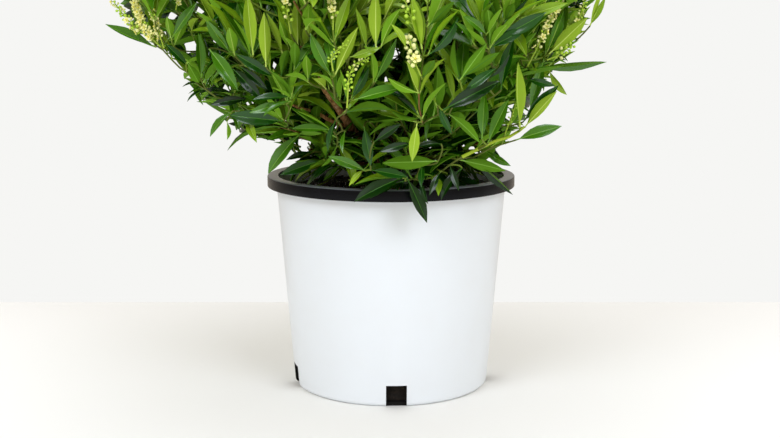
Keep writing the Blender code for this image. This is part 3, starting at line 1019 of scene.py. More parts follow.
def strewn_tree(name: str, finishes: Sequence[Finish]) -> NodeTree:
    """Builds the tree that strews rough grains over a surface.

    Args:
        name: The tree's name.
        finishes: The finishes among which the grains are dealt.

    Returns:
        The tree, with the inputs Density, Grain and Seed.
    """
    kinds = {"Density": ("NodeSocketFloat", 1000.0), "Grain": ("NodeSocketFloat", 0.003)}
    tree = tree_with_inputs(name, {**kinds, "Seed": ("NodeSocketInt", 0)})
    given = add_node(tree, "NodeGroupInput").outputs
    seed = given["Seed"]
    points = add_node(
        tree, "GeometryNodeDistributePointsOnFaces",
        {"Mesh": given["Geometry"], "Density": given["Density"], "Seed": seed},
    )
    lot = add_node(
        tree, "FunctionNodeRandomValue", {4: 0, 5: len(finishes) - 1, "Seed": seed}, data_type="INT"
    )
    marked_points = add_node(
        tree, "GeometryNodeStoreNamedAttribute",
        {"Geometry": points.outputs["Points"], "Name": "tone", "Value": lot.outputs[2]},
        data_type="INT", domain="POINT",
    )
    grain = add_node(tree, "GeometryNodeMeshIcoSphere", {"Radius": 0.5, "Subdivisions": 1})
    # Any turn, and a flat lump that is longest along its own X
    turn, shape = (
        add_node(tree, "FunctionNodeRandomValue", {0: low, 1: high, "Seed": seed}, data_type="FLOAT_VECTOR")
        for low, high in (((0.0, 0.0, 0.0), (6.3, 6.3, 6.3)), ((0.5, 0.3, 0.2), (1.5, 0.9, 0.5)))
    )
    size = add_node(
        tree, "ShaderNodeVectorMath", {0: shape.outputs[0], "Scale": given["Grain"]}, operation="SCALE"
    )
    turned = add_node(tree, "FunctionNodeEulerToRotation", {0: turn.outputs[0]})
    strewn = add_node(
        tree, "GeometryNodeInstanceOnPoints",
        {
            "Points": marked_points.outputs[0], "Instance": grain.outputs["Mesh"],
            "Rotation": turned.outputs[0], "Scale": size.outputs[0],
        },
    )
    chosen = {(index,): finish for index, finish in enumerate(finishes)}
    end_tree(tree, strewn.outputs[0], chosen, ["tone"])
    return tree


# The plan of the plant, by the same rule as its solids


@dataclass(frozen=True)
class CrownOutline:
    """The crown's outline: round at every height, wider upwards to its waist, domed above it."""

    low: float = 0.240
    waist: float = 0.468
    top: float = 0.632
    radius: float = 0.292
    lean: float = 0.036
    foot_share: float = 0.50
    apron_low: float = 0.196
    apron_high: float = 0.260
    apron_radius: float = 0.178
    halvings: int = 24

    def share(self, height: float) -> float:
        """Works out the crown's width at a height.

        Args:
            height: The height.

        Returns:
            Its width as a share of its width at the waist.
        """
        if height <= self.waist:
            climb = max(height - self.low, 0.0) / (self.waist - self.low)
            return mixed(self.foot_share, 1.0, math.sin(climb * math.pi / 2.0))
        climb = (height - self.waist) / (self.top - self.waist)
        return math.sqrt(max(0.0, 1.0 - climb * climb))

    def depth(self, point: Vector) -> float:
        """Works out how far out a point lies.

        Args:
            point: The point.

        Returns:
            0 on the crown's axis, 1 on its outline.
        """
        share = self.share(point.z)
        if point.z > self.top or share <= 0.0:
            return 2.0
        return math.hypot(point.x + self.lean * share, point.y) / (self.radius * share)

    def holds(self, point: Vector) -> bool:
        """Tells whether a point is in the crown, or in the apron of low leaves at the rim.

        Args:
            point: The point.

        Returns:
            Whether it is.
        """
        if self.depth(point) <= 1.0:
            return point.z > self.apron_low
        in_band = self.apron_low < point.z < self.apron_high
        return in_band and math.hypot(point.x, point.y) < self.apron_radius

    def edge(self, way: Vector) -> float:
        """Finds how far the crown reaches from its heart.

        Args:
            way: The way to look.

        Returns:
            The distance to its outline.
        """
        near, far = 0.0, 2.0 * self.radius
        for _ in range(self.halvings):
            middle = (near + far) / 2.0
            if self.depth(HEART + way * middle) <= 1.0:
                near = middle
            else:
                far = middle
        return near


@dataclass(frozen=True)
class BoughRing:
    """A ring of boughs and what grows on them. Angles are in degrees."""

    name: str
    count: int
    first_azimuth: float
    elevation: float
    root_height: float
    root_stagger: float
    root_radius: float
    launch: float
    bough_share: float
    twigs: int
    twig_length: float
    leaf_lift: float
    racemes: int
    youth: float


LOW = BoughRing(
    "low", 6, 225.0, 11.0, 0.2440, 0.0030, 0.0042, 20.0, 0.24,
    twigs=13, twig_length=0.085, leaf_lift=-0.05, racemes=0, youth=-0.10,
)
MIDDLE = BoughRing(
    "middle", 6, 195.0, 36.0, 0.2640, 0.0040, 0.0052, 34.0, 0.26,
    twigs=16, twig_length=0.120, leaf_lift=0.22, racemes=2, youth=0.05,
)
HIGH = BoughRing(
    "high", 3, 230.0, 63.0, 0.3060, 0.0060, 0.0044, 55.0, 0.30,
    twigs=15, twig_length=0.120, leaf_lift=0.50, racemes=3, youth=0.15,
)
TOP = BoughRing(
    "top", 1, 0.0, 88.0, 0.2880, 0.0, 0.0095, 88.0, 0.36,
    twigs=14, twig_length=0.110, leaf_lift=0.65, racemes=3, youth=0.20,
)


@dataclass
class Limb:
    """A tapering limb: the points of its axis and the radius at each."""

    points: list[Vector] = field(default_factory=list)
    radii: list[float] = field(default_factory=list)

    def add(self, point: Vector, radius: float) -> None:
        """Lengthens the limb by a point."""
        self.points.append(point)
        self.radii.append(radius)

    def beyond(self, first: int) -> "Limb":
        """Returns the limb without its points before this number."""
        return Limb(self.points[first:], self.radii[first:])

    def length(self) -> float:
        """Returns the length of the limb's axis."""
        return sum((b - a).length for a, b in zip(self.points, self.points[1:]))

    def along(self, share: float) -> tuple[Vector, Vector, float]:
        """Finds a place on the limb.

        Args:
            share: The share of its length.

        Returns:
            The point, the limb's direction and its radius there.
        """
        spans = len(self.points) - 1
        place = min(share * spans, spans - 1e-6)
        index = int(place)
        start, end = self.points[index], self.points[index + 1]
        radius = mixed(self.radii[index], self.radii[index + 1], place - index)
        return mixed(start, end, place - index), (end - start).normalized(), radius


@dataclass
class Mass:
    """A mass of foliage: its name, its ring and its stem."""

    name: str
    ring: BoughRing
    stem: Limb


@dataclass(frozen=True)
class Skeleton:
    """The plan of trunk, boughs and stems, drawn in the same order as the solids' own."""

    crown: CrownOutline
    trunk_foot: Vector = Vector((-0.004, 0.003, MIX_TOP))
    trunk_fork: Vector = Vector((-0.012, 0.000, 0.288))
    trunk_radius: float = 0.0120
    fork_radius: float = 0.0095
    flare_radius: float = 0.0190
    flare_height: float = 0.0053
    trunk_rings: int = 8
    bend: float = 0.45
    reach: float = 0.80
    tip_share: float = 0.50
    stem_tip_radius: float = 0.0011
    stem_taper: float = 0.6
    azimuth_play: float = 6.0
    elevation_play: float = 2.0
    bough_rings: int = 12
    stem_rings: int = 10
    seed: int = 7

    def trunk(self, rings: int) -> Limb:
        """Lays the trunk with its flare.

        Args:
            rings: How many rings it has.

        Returns:
            The trunk.
        """
        knee = Vector((self.trunk_foot.x, self.trunk_foot.y, (self.trunk_foot.z + self.trunk_fork.z) / 2.0))
        limb = Limb()
        for share in steps(rings):
            point = bend(self.trunk_foot, knee, self.trunk_fork, share)
            fall = math.exp((self.trunk_foot.z - point.z) / self.flare_height)
            flare = (self.flare_radius - self.trunk_radius) * fall
            limb.add(point, mixed(self.trunk_radius, self.fork_radius, share) + flare)
        return limb

    def shoot(self, root: Vector, launch: Vector, way: Vector, ring: BoughRing) -> tuple[Limb, Limb]:
        """Lays one shoot from the wood to near the crown's edge.

        Args:
            root: Where it leaves the wood.
            launch: The way it sets out.
            way: The way from the crown's heart to its end.
            ring: Its ring.

        Returns:
            Its bough, and the stem of its mass that carries on from it.
        """
        end = HEART + way * self.crown.edge(way) * self.reach
        control = root + launch * (end - root).length * self.bend
        bough = Limb()
        for share in steps(self.bough_rings):
            point = bend(root, control, end, ring.bough_share * share)
            bough.add(point, ring.root_radius * mixed(1.0, self.tip_share, share))
        stem = Limb()
        for share in steps(self.stem_rings):
            point = bend(root, control, end, mixed(ring.bough_share, 1.0, share))
            stem.add(point, mixed(bough.radii[-1], self.stem_tip_radius, share**self.stem_taper))
        return bough, stem

    def plan(self) -> tuple[dict[str, Limb], list[Mass]]:
        """Lays out the boughs and the stems of the masses, ring by ring.

        Returns:
            The boughs by their solids' names, and the masses.
        """
        draw = random.Random(self.seed)
        trunk = self.trunk(self.trunk_rings)
        lean = (trunk.points[-1] - trunk.points[-2]).normalized()
        leader, stem = self.shoot(self.trunk_fork, lean, direction(TOP.first_azimuth, TOP.elevation), TOP)
        boughs = {"leader": leader}
        masses = [Mass("top_foliage", TOP, stem)]
        axis = trunk.points + leader.points[1:]
        for ring in (LOW, MIDDLE, HIGH):
            for index in range(ring.count):
                step = 360.0 * index / ring.count
                azimuth = ring.first_azimuth + step + draw.uniform(-self.azimuth_play, self.azimuth_play)
                elevation = ring.elevation + draw.uniform(-self.elevation_play, self.elevation_play)
                stagger = ring.root_stagger if index % 2 else -ring.root_stagger
                root = self.on_axis(axis, ring.root_height + stagger)
                launch = direction(azimuth, ring.launch)
                bough, stem = self.shoot(root, launch, direction(azimuth, elevation), ring)
                boughs[f"{ring.name}_bough_{index + 1}"] = bough
                masses.append(Mass(f"{ring.name}_foliage_{index + 1}", ring, stem))
        return boughs, masses

    def on_axis(self, axis: Sequence[Vector], height: float) -> Vector:
        """Finds the point of the wood's axis at a height.

        Args:
            axis: The axis, from the mix upwards.
            height: The height.

        Returns:
            The point.
        """
        for low, high in zip(axis, axis[1:]):
            if low.z <= height <= high.z:
                return mixed(low, high, (height - low.z) / (high.z - low.z))
        return axis[-1].copy()


# The wood


@dataclass(frozen=True)
class Wood:
    """Trunk and boughs with their bark's relief: long shallow furrows and lifted flakes."""

    skeleton: Skeleton
    trunk_rings: int = 30
    sides: int = 40
    rings_per_mm: float = 0.8
    least_rings: int = 6
    fractal: tuple[float, float, int] = (0.8, 2.1, 4)
    sink: float = 0.3
    furrow: float = 0.00075
    furrow_width_mm: float = 3.4
    furrow_length_mm: float = 16.0
    rough_radius: float = 0.008

    def barked(self, name: str, limb: Limb, foot_way: Vector | None = None, bark: Finish = BARK) -> Object:
        """Builds a closed tube along a limb, with furrows.

        Args:
            name: The piece's name.
            limb: The limb.
            foot_way: The way that its first cut faces, where that isn't along the limb.
            bark: Its finish.

        Returns:
            The tube.
        """
        rings = max(self.least_rings, round(limb.length() / MM * self.rings_per_mm))
        points: list[Vector] = []
        side = across((limb.points[1] - limb.points[0]).normalized())[0]
        reach = 0.0
        last = limb.points[0]
        ways = turns(self.sides)
        for index, share in enumerate(steps(rings + 1)):
            centre, way, radius = limb.along(share)
            if foot_way and index == 0:
                way = foot_way
            reach += (centre - last).length
            last = centre
            side = (side - way * side.dot(way)).normalized()
            other = way.cross(side)
            for along, aside in ways:
                stand = radius + self.relief(along, aside, reach, radius)
                points.append(centre + (side * along + other * aside) * stand)
        points.append(limb.points[0].copy())
        points.append(last.copy())
        faces = []
        for step in range(self.sides):
            after = (step + 1) % self.sides
            for ring in range(rings):
                low, high = ring * self.sides, (ring + 1) * self.sides
                faces.append((low + step, low + after, high + after, high + step))
            faces.append((len(points) - 2, step, after))
            faces.append((len(points) - 1, rings * self.sides + after, rings * self.sides + step))
        mesh = mesh_from(name, points, faces)
        mesh.shade_smooth()
        mesh.materials.append(bark.material())
        return mesh_object(name, mesh)

    def relief(self, along: float, aside: float, reach: float, radius: float) -> float:
        """Works out how far the bark stands out.

        Args:
            along: The cosine of the turn round the limb.
            aside: Its sine.
            reach: How far along the limb.
            radius: The limb's radius there.

        Returns:
            The height, less than nothing in a furrow.
        """
        width = self.furrow_width_mm * MM
        spot = Vector((along * radius / width, aside * radius / width, reach / (self.furrow_length_mm * MM)))
        share = min(1.0, radius / self.rough_radius)
        return self.furrow * share * (noise.fractal(spot, *self.fractal) - self.sink)

    def build(self, boughs: dict[str, Limb], old: dict[str, Limb]) -> None:
        """Makes the trunk and every bough for their solids, and the old stems.

        Args:
            boughs: The boughs by their solids' names.
            old: The old stems that rise from them, by their names.
        """
        trunk = self.skeleton.trunk(self.trunk_rings)
        finished(self.barked("trunk_bark", trunk, UP), ["trunk"])
        for name, bough in boughs.items():
            finished(self.barked(f"{name}_bark", bough), [name])
        for name, stem in old.items():
            # Old stems get the lighter bark: partly their own orange-brown, partly painted light
            finished(self.barked(name, stem, bark=LIGHTENED_OLD_BARK))


# Leaves


@dataclass(frozen=True)
class LeafShape:
    """A leaf one unit long: +X from its stalk to its tip, +Z its upper side. Angles in degrees."""

    width: float
    rise: float
    droop: float
    fold: float
    twist: float
    wave: float = 0.0
    ripples: float = 17.0
    stalk: float = 0.09
    stalk_half: float = 0.013
    fullest: float = 0.96
    taper: float = 1.05
    rib_foot: float = 0.009
    rib_tip: float = 0.003
    rib_room: float = 0.7
    rib_under: float = 1.2
    thickness: float = 0.009
    sunk: float = 0.1
    thick_foot: float = 1.3
    thick_fall: float = 0.7
    arch: float = 0.013
    stations: tuple[float, ...] = (0.0, 0.09, 0.20, 0.34, 0.50, 0.66, 0.80, 0.92)
    slopes: int = 20
    sharp_degrees: float = 70.0

    def half_width(self, share: float) -> float:
        """Works out half the blade's width.

        Args:
            share: The share of the leaf's length.

        Returns:
            Half the width there.
        """
        if share <= self.stalk:
            return self.stalk_half
        along = (share - self.stalk) / (1.0 - self.stalk)
        blade = self.width / 2.0 * math.sin(math.pi * along**self.fullest) ** self.taper
        return self.stalk_half * (1.0 - along) + blade

    def midrib(self, share: float) -> tuple[Vector, Vector, Vector]:
        """Lays the midrib.

        Args:
            share: The share of the leaf's length.

        Returns:
            The midrib's point there and the ways across and up from it.
        """
        point = Vector()
        for step in range(self.slopes):
            slope = math.radians(mixed(self.rise, -self.droop, share * (step + 0.5) / self.slopes))
            point += Vector((math.cos(slope), 0.0, math.sin(slope))) * (share / self.slopes)
        slope = math.radians(mixed(self.rise, -self.droop, share))
        turn = math.radians(self.twist) * share
        rise = Vector((-math.sin(slope), 0.0, math.cos(slope)))
        side = Vector((0.0, 1.0, 0.0))
        across_way = side * math.cos(turn) + rise * math.sin(turn)
        return point, across_way, rise * math.cos(turn) - side * math.sin(turn)

    def edges(self, share: float) -> tuple[Vector, Vector]:
        """Lays the blade's two edges.

        Args:
            share: The share of the leaf's length.

        Returns:
            The points of the left and the right edge there.
        """
        point, side, rise = self.midrib(share)
        half = self.half_width(share)
        lift = rise * (half * math.tan(math.radians(self.fold)))
        ripple = rise * (self.wave * math.sin(share * self.ripples))
        return point - side * half + lift + ripple, point + side * half + lift - ripple

    def chord(self) -> float:
        """Returns the angle of the line from the leaf's foot to its tip above +X, in radians."""
        tip = self.midrib(1.0)[0]
        return math.atan2(tip.z, tip.x)

    def reach(self) -> float:
        """Returns the straight distance from the leaf's foot to its tip."""
        return self.midrib(1.0)[0].length

    def mesh(self, name: str) -> Mesh:
        """Builds the leaf as a closed blade with its midrib on both sides.

        Args:
            name: The mesh's name.

        Returns:
            The mesh, with its parts marked on its faces.
        """
        points: list[Vector] = []
        for share in self.stations:
            point, side, rise = self.midrib(share)
            left, right = self.edges(share)
            rib = min(mixed(self.rib_foot, self.rib_tip, share), self.half_width(share) * self.rib_room)
            crest = point - rise * (self.thickness * self.sunk)
            under = point - rise * (self.thickness * (self.thick_foot - self.thick_fall * share))
            beside = crest - side * rib, crest + side * rib
            arch = rise * (self.arch * self.half_width(share) / (self.width / 2.0))
            mids = [mixed(edge, inner, 0.5) + arch for edge, inner in zip((left, right), beside)]
            points += [left, mids[0], *beside, mids[1], right]
            points += [under + side * rib * self.rib_under, under - side * rib * self.rib_under]
        points.append(self.midrib(1.0)[0])
        ring = [Part.UPPER] * 2 + [Part.RIB] + [Part.UPPER] * 2 + [Part.UNDER, Part.RIB, Part.UNDER]
        size = len(ring)
        faces: Faces = [tuple(range(size))]
        parts = [Part.RIB]
        for index in range(len(self.stations)):
            first = index * size
            for corner, part in enumerate(ring):
                near, far = first + corner, first + (corner + 1) % size
                if index + 1 == len(self.stations):
                    faces.append((near, len(points) - 1, far))
                elif corner in (0, 1, 5):
                    faces.append((near, near + size, far + size, far))
                else:
                    faces.append((far, near, near + size, far + size))
                parts.append(Part.RIB if index == 0 else part)
        mesh = mesh_from(name, points, faces)
        mesh.shade_smooth()
        mesh.set_sharp_from_angle(angle=math.radians(self.sharp_degrees))
        return marked(mesh, parts)


LEAF_SHAPES: tuple[LeafShape, ...] = (
    LeafShape(width=0.218, rise=8.0, droop=14.0, fold=28.0, twist=6.0),
    LeafShape(width=0.228, rise=10.0, droop=34.0, fold=26.0, twist=-14.0, wave=0.004),
    LeafShape(width=0.205, rise=4.0, droop=24.0, fold=35.0, twist=20.0, wave=0.003),
    LeafShape(width=0.240, rise=12.0, droop=48.0, fold=25.0, twist=10.0, wave=0.006),
    LeafShape(width=0.198, rise=-4.0, droop=-10.0, fold=37.0, twist=-10.0),
    LeafShape(width=0.232, rise=6.0, droop=20.0, fold=24.0, twist=-24.0, wave=0.006),
    LeafShape(width=0.258, rise=5.0, droop=10.0, fold=19.0, twist=0.0, wave=0.003),
)


def marked(mesh: Mesh, parts: Sequence[int]) -> Mesh:
    """Marks the parts of a shape on its faces.

    Args:
        mesh: The shape.
        parts: The part that each face belongs to.

    Returns:
        The same mesh.
    """
    marks = mesh.attributes.new("part", "INT", "FACE")
    marks.data.foreach_set("value", [int(part) for part in parts])
    return mesh


@dataclass
class Sprig:
    """A leaf, bud or flower in its place: its foot, the way it points and the way it faces."""

    foot: Vector
    aim: Vector
    face: Vector
    size: float
    shape: int
    tone: int

    def matrix(self) -> Matrix:
        """Returns the turn from the shape's own axes to its place's."""
        side = self.face.cross(self.aim).normalized()
        return Matrix((self.aim, side, self.aim.cross(side).normalized())).transposed()

    def placed(self, point: Vector, turn: Matrix) -> Vector:
        """Returns where a point of the shape comes to lie."""
        return self.foot + (turn @ point) * self.size


@dataclass
class Clutter:
    """What stands in the crown already, so that a new leaf or twig crosses none of it."""

    batch: int = 48
    settled: list[Patch] = field(default_factory=list)
    recent: list[Patch] = field(default_factory=list)
    solid: list[Patch] = field(default_factory=list)
    trees: list[BVHTree | None] = field(default_factory=lambda: [None, None])

    @staticmethod
    def tree_of(patches: Iterable[Patch]) -> BVHTree:
        """Builds the search tree of patches.

        Args:
            patches: The patches, each of corners and faces.

        Returns:
            The tree.
        """
        corners: list[Vector] = []
        faces: Faces = []
        for patch_corners, patch_faces in patches:
            first = len(corners)
            corners += patch_corners
            faces += [tuple(first + corner for corner in face) for face in patch_faces]
        return BVHTree.FromPolygons(corners, faces)

    def keep(self, corners: list[Vector], faces: Faces, solid: bool = True) -> None:
        """Adds a patch, and settles the recent ones when there are many.

        Args:
            corners: The patch's corners.
            faces: Its faces.
            solid: Whether it stands for growth and not for space that is kept clear.
        """
        self.recent.append((corners, faces))
        if solid:
            self.solid.append((corners, faces))
        if len(self.recent) >= self.batch:
            self.settled += self.recent
            self.recent = []
            self.trees = [self.tree_of(self.settled), None]
        else:
            self.trees[1] = self.tree_of(self.recent)

    def hits(self, corners: list[Vector], faces: Faces) -> bool:
        """Returns whether a patch crosses anything kept."""
        patch = BVHTree.FromPolygons(corners, faces)
        return any(tree is not None and tree.overlap(patch) for tree in self.trees)


def slats(limb: Limb) -> Patch:
    """Lays two crossed slats through each length of a limb, for crossing tests.

    Args:
        limb: The limb.

    Returns:
        The slats' corners and faces.
    """
    corners: list[Vector] = []
    faces: Faces = []
    for low, high, radius in zip(limb.points, limb.points[1:], limb.radii):
        for side in across((high - low).normalized()):
            faces.append(tuple(range(len(corners), len(corners) + 4)))
            corners += [low + side * radius, low - side * radius, high - side * radius, high + side * radius]
    return corners, faces


class Age(IntEnum):
    """The orders of a mass's twigs, from its stem to its leafy shoots and flower stalks."""

    STEM = 0
    TWIG = 1
    SHOOT = 2
    STALK = 3
    SAPPY = 4


@dataclass
class Twig:
    """A limb of a mass with its order and how young its leaves are, from 0 to 1."""

    limb: Limb
    age: Age
    youth: float


@dataclass(frozen=True)
class Habit:
    """How twigs and leaves leave the limb that bears them."""

    crown: CrownOutline
    pot: NurseryPot
    margin: float = 0.0025
    waist_low: float = 0.27
    waist_high: float = 0.38
    waist_share: float = 0.88
    rim_height: float = 0.258
    rim_reach: float = 0.118
    rim_sectors: tuple[tuple[float, float], ...] = ((268.0, 24.0), (75.0, 55.0))
    hang_low: float = 0.236
    twig_depth: float = 0.87
    twig_spread: float = 50.0
    twig_lift: float = 0.35
    twig_bend: float = 0.5
    twig_share: float = 0.9
    twig_play: tuple[float, float] = (0.85, 1.1)
    twig_taper: float = 0.75
    twigs_from: float = 0.04
    twigs_to: float = 0.94
    trials: tuple[float, ...] = (1.0, 0.85, 0.7, 0.55, 0.4)
    shoots: int = 3
    shoots_from: float = 0.30
    shoots_to: float = 0.82
    shoot_share: float = 0.60
    shoot_spread: float = 44.0
    shoot_play: tuple[float, float] = (0.75, 1.1)
    twig_radius: float = 0.0013
    twig_tip_radius: float = 0.0009
    twig_rings: int = 6
    leaf_length: float = 0.061
    leaf_sizes: tuple[float, float] = (1.06, 0.84)
    leaf_play: tuple[float, float] = (0.86, 1.14)
    leaf_seat: float = 0.6
    leaf_spacing: float = 0.0078
    least_leaves: int = 6
    leafy_from: tuple[float, ...] = (0.45, 0.20, 0.14)
    crowding: float = 0.75
    leaf_trials: int = 9
    leaf_shrink: float = 0.04
    base_spread: float = 64.0
    tip_spread: float = 24.0
    spread_power: float = 1.6
    spread_play: float = 12.0
    lift_share: float = 0.8
    lift_play: float = 0.25
    turn_play: float = 0.5
    face_share: float = 0.6
    tone_rise: float = 0.36
    even_at: float = 0.6
    tone_play: float = 0.10
    blade_stations: tuple[float, ...] = (0.14, 0.38, 0.62, 0.84, 1.0)

    def clear(self, point: Vector, reach: float = 1.0) -> bool:
        """Returns whether growth may come to a point.

        Args:
            point: The point.
            reach: The share of the crown's width that it may use.

        Returns:
            Whether it is in the crown and clear of the mix, of the rim and of the rim's open part.
        """
        climb = (point.z - self.waist_low) / (self.waist_high - self.waist_low)
        waist = mixed(self.waist_share, 1.0, clamped(climb))
        radius = math.hypot(point.x, point.y)
        if point.z < self.rim_height and radius > self.rim_reach:
            if all(azimuth_gap(point, middle) >= half for middle, half in self.rim_sectors):
                return False
        if self.crown.depth(point) > reach * waist:
            if point.z >= self.crown.apron_high or not self.crown.holds(point):
                return False
        if point.z > self.pot.height + self.margin:
            return True
        if radius < self.pot.wall_radius(MIX_TOP) - self.pot.wall - self.margin:
            return point.z > MIX_TOP + self.margin
        return point.z > self.hang_low and radius > self.pot.rim_radius + self.margin

    def side_twig(self, limb: Limb, place: float, turn: float, length: float, spread: float) -> Limb:
        """Returns a twig that leaves a limb and bends upwards.

        Args:
            limb: The limb that bears it.
            place: The share of the limb's length where it leaves.
            turn: The turn round the limb.
            length: The twig's length.
            spread: The angle between limb and twig, in degrees.

        Returns:
            The twig.
        """
        root, way, thick = limb.along(place)
        angle = math.radians(spread)
        launch = (way * math.cos(angle) + around(way, turn) * math.sin(angle)).normalized()
        end = root + (launch + UP * self.twig_lift).normalized() * length
        return self.arched(root, root + launch * length * self.twig_bend, end, thick * self.twig_share)

    def arched(self, root: Vector, control: Vector, end: Vector, thick: float) -> Limb:
        """Lays a thin twig on a curve.

        Args:
            root: Where it starts.
            control: The point that it sets out to.
            end: Where it ends.
            thick: The radius that its foot may not pass.

        Returns:
            The twig.
        """
        foot = min(self.twig_radius, thick)
        twig = Limb()
        for share in steps(self.twig_rings):
            twig.add(bend(root, control, end, share), mixed(foot, self.twig_tip_radius, share))
        return twig


class Side(IntEnum):
    """The side of a leaf that is seen."""

    UPPER = 1
    UNDER = -1


@dataclass(frozen=True)
class SeenLeaf:
    """A leaf by its places in the picture.

    Foot and tip are in pixels. Front is how far in front of the pot's axis the foot lies and lift
    how much nearer to the viewer the tip is, both in mm. Roll turns the leaf round its own axis,
    in degrees, so that it is seen narrower.
    """

    foot_x: float
    foot_y: float
    tip_x: float
    tip_y: float
    front: float
    tone: Tone
    roll: float
    lift: float
    shape: int
    side: Side = Side.UPPER


@dataclass(frozen=True)
class SeenRaceme:
    """A flower spike by its places in the picture, in pixels, and how far in front it stands."""

    path: tuple[tuple[float, float], ...]
    front: float
    buds: int
    blooms: int
    cream: float
    size: float

    def line(self, view: Viewpoint) -> list[Vector]:
        """Returns the points of its stalk."""
        return [view.point_at(x, y, self.front) for x, y in self.path]


@dataclass(frozen=True)
class SeenTwig:
    """A twig by its places in the picture: fronts and radii at its two ends are in mm."""

    path: tuple[tuple[float, float], ...]
    fronts: tuple[float, float]
    radii: tuple[float, float]
    age: Age

    def limb(self, view: Viewpoint) -> Limb:
        """Lays the twig.

        Args:
            view: The picture's viewpoint.

        Returns:
            The twig.
        """
        limb = Limb()
        for (x, y), share in zip(self.path, steps(len(self.path))):
            limb.add(view.point_at(x, y, mixed(*self.fronts, share)), mixed(*self.radii, share) * MM)
        return limb


OLD, DARK, MID, FRESH, YOUNG = Tone
UNDER = Side.UNDER

# Leaves that stand out in the picture, from left to right, each with the values of a SeenLeaf
LEFT_LEAVES: tuple[tuple, ...] = (
    (156, 47, 105, 24, 62, MID, 30, 0, 4), (165, 43, 188, 66, 75, DARK, 10, 5, 5),
    (187, 62, 199, 83, 90, MID, 0, 30, 6, UNDER), (155, 21, 176, -14, 80, FRESH, 15, 0, 2, UNDER),
    (172, 38, 197, 2, 95, MID, -10, 0, 0), (174, 46, 187, 16, 84, FRESH, 10, 15, 6, UNDER),
    (201, 78, 198, 32, 120, MID, 15, 0, 0), (231, 54, 205, 18, 140, MID, -15, 0, 5),
    (209, 49, 238, 91, 150, MID, 0, 12, 3), (253, 55, 247, -8, 190, YOUNG, 10, 0, 4),
    (266, 67, 264, 12, 200, YOUNG, 0, 0, 0, UNDER), (283, 54, 266, 12, 186, YOUNG, 40, 0, 4),
    (298, 46, 297, -2, 196, YOUNG, 5, 0, 2, UNDER), (295, 69, 295, 42, 205, MID, 0, 25, 6, UNDER),
    (308, 81, 306, 55, 206, FRESH, 0, 22, 6, UNDER), (281, 77, 288, 50, 196, OLD, 10, 20, 3, UNDER),
    (234, 53, 272, 76, 176, DARK, 15, 0, 1), (252, 56, 222, 8, 178, MID, 62, 0, 4),
    (232, 68, 262, 100, 162, OLD, 5, 5, 3), (249, 99, 210, 105, 112, OLD, 10, 0, 5),
    (234, 93, 198, 92, 104, OLD, 35, 0, 0), (206, 84, 182, 87, 84, OLD, 62, 0, 1),
    (206, 90, 187, 102, 84, DARK, 58, 0, 1), (206, 87, 188, 94, 86, DARK, 60, 0, 0),
    (240, 66, 268, 90, 168, OLD, 10, 5, 0), (291, 97, 252, 100, 190, DARK, 20, 0, 0),
    (286, 104, 249, 113, 180, MID, 0, 5, 1), (291, 101, 263, 117, 192, MID, 48, 0, 1),
    (284, 121, 229, 115, 150, DARK, -18, 0, 3), (233, 111, 210, 137, 122, MID, 32, 0, 1),
    (227, 121, 227, 140, 126, FRESH, 30, 20, 2, UNDER), (248, 122, 257, 143, 142, FRESH, 10, 25, 3),
    (288, 127, 227, 151, 124, OLD, 60, 0, 3), (300, 134, 268, 174, 112, MID, 5, 0, 3),
    (331, 130, 291, 129, 166, MID, 10, 0, 0), (322, 160, 280, 175, 92, DARK, 0, 0, 6),
    (311, 152, 286, 160, 86, OLD, 15, 10, 5), (335, 121, 328, 152, 178, DARK, 35, 0, 0),
    (345, 131, 343, 154, 172, MID, 25, 15, 2), (364, 127, 371, 166, 172, DARK, 8, 0, 6),
    (366, 171, 328, 156, 150, MID, 0, 0, 5), (337, 146, 321, 167, 140, MID, 42, 5, 2, UNDER),
    (363, 170, 349, 186, 146, YOUNG, 0, 10, 3), (341, 167, 316, 184, 62, OLD, 0, 0, 3),
    (334, 164, 310, 183, 72, DARK, 20, 5, 3), (341, 165, 323, 181, 70, MID, 15, 5, 5),
)
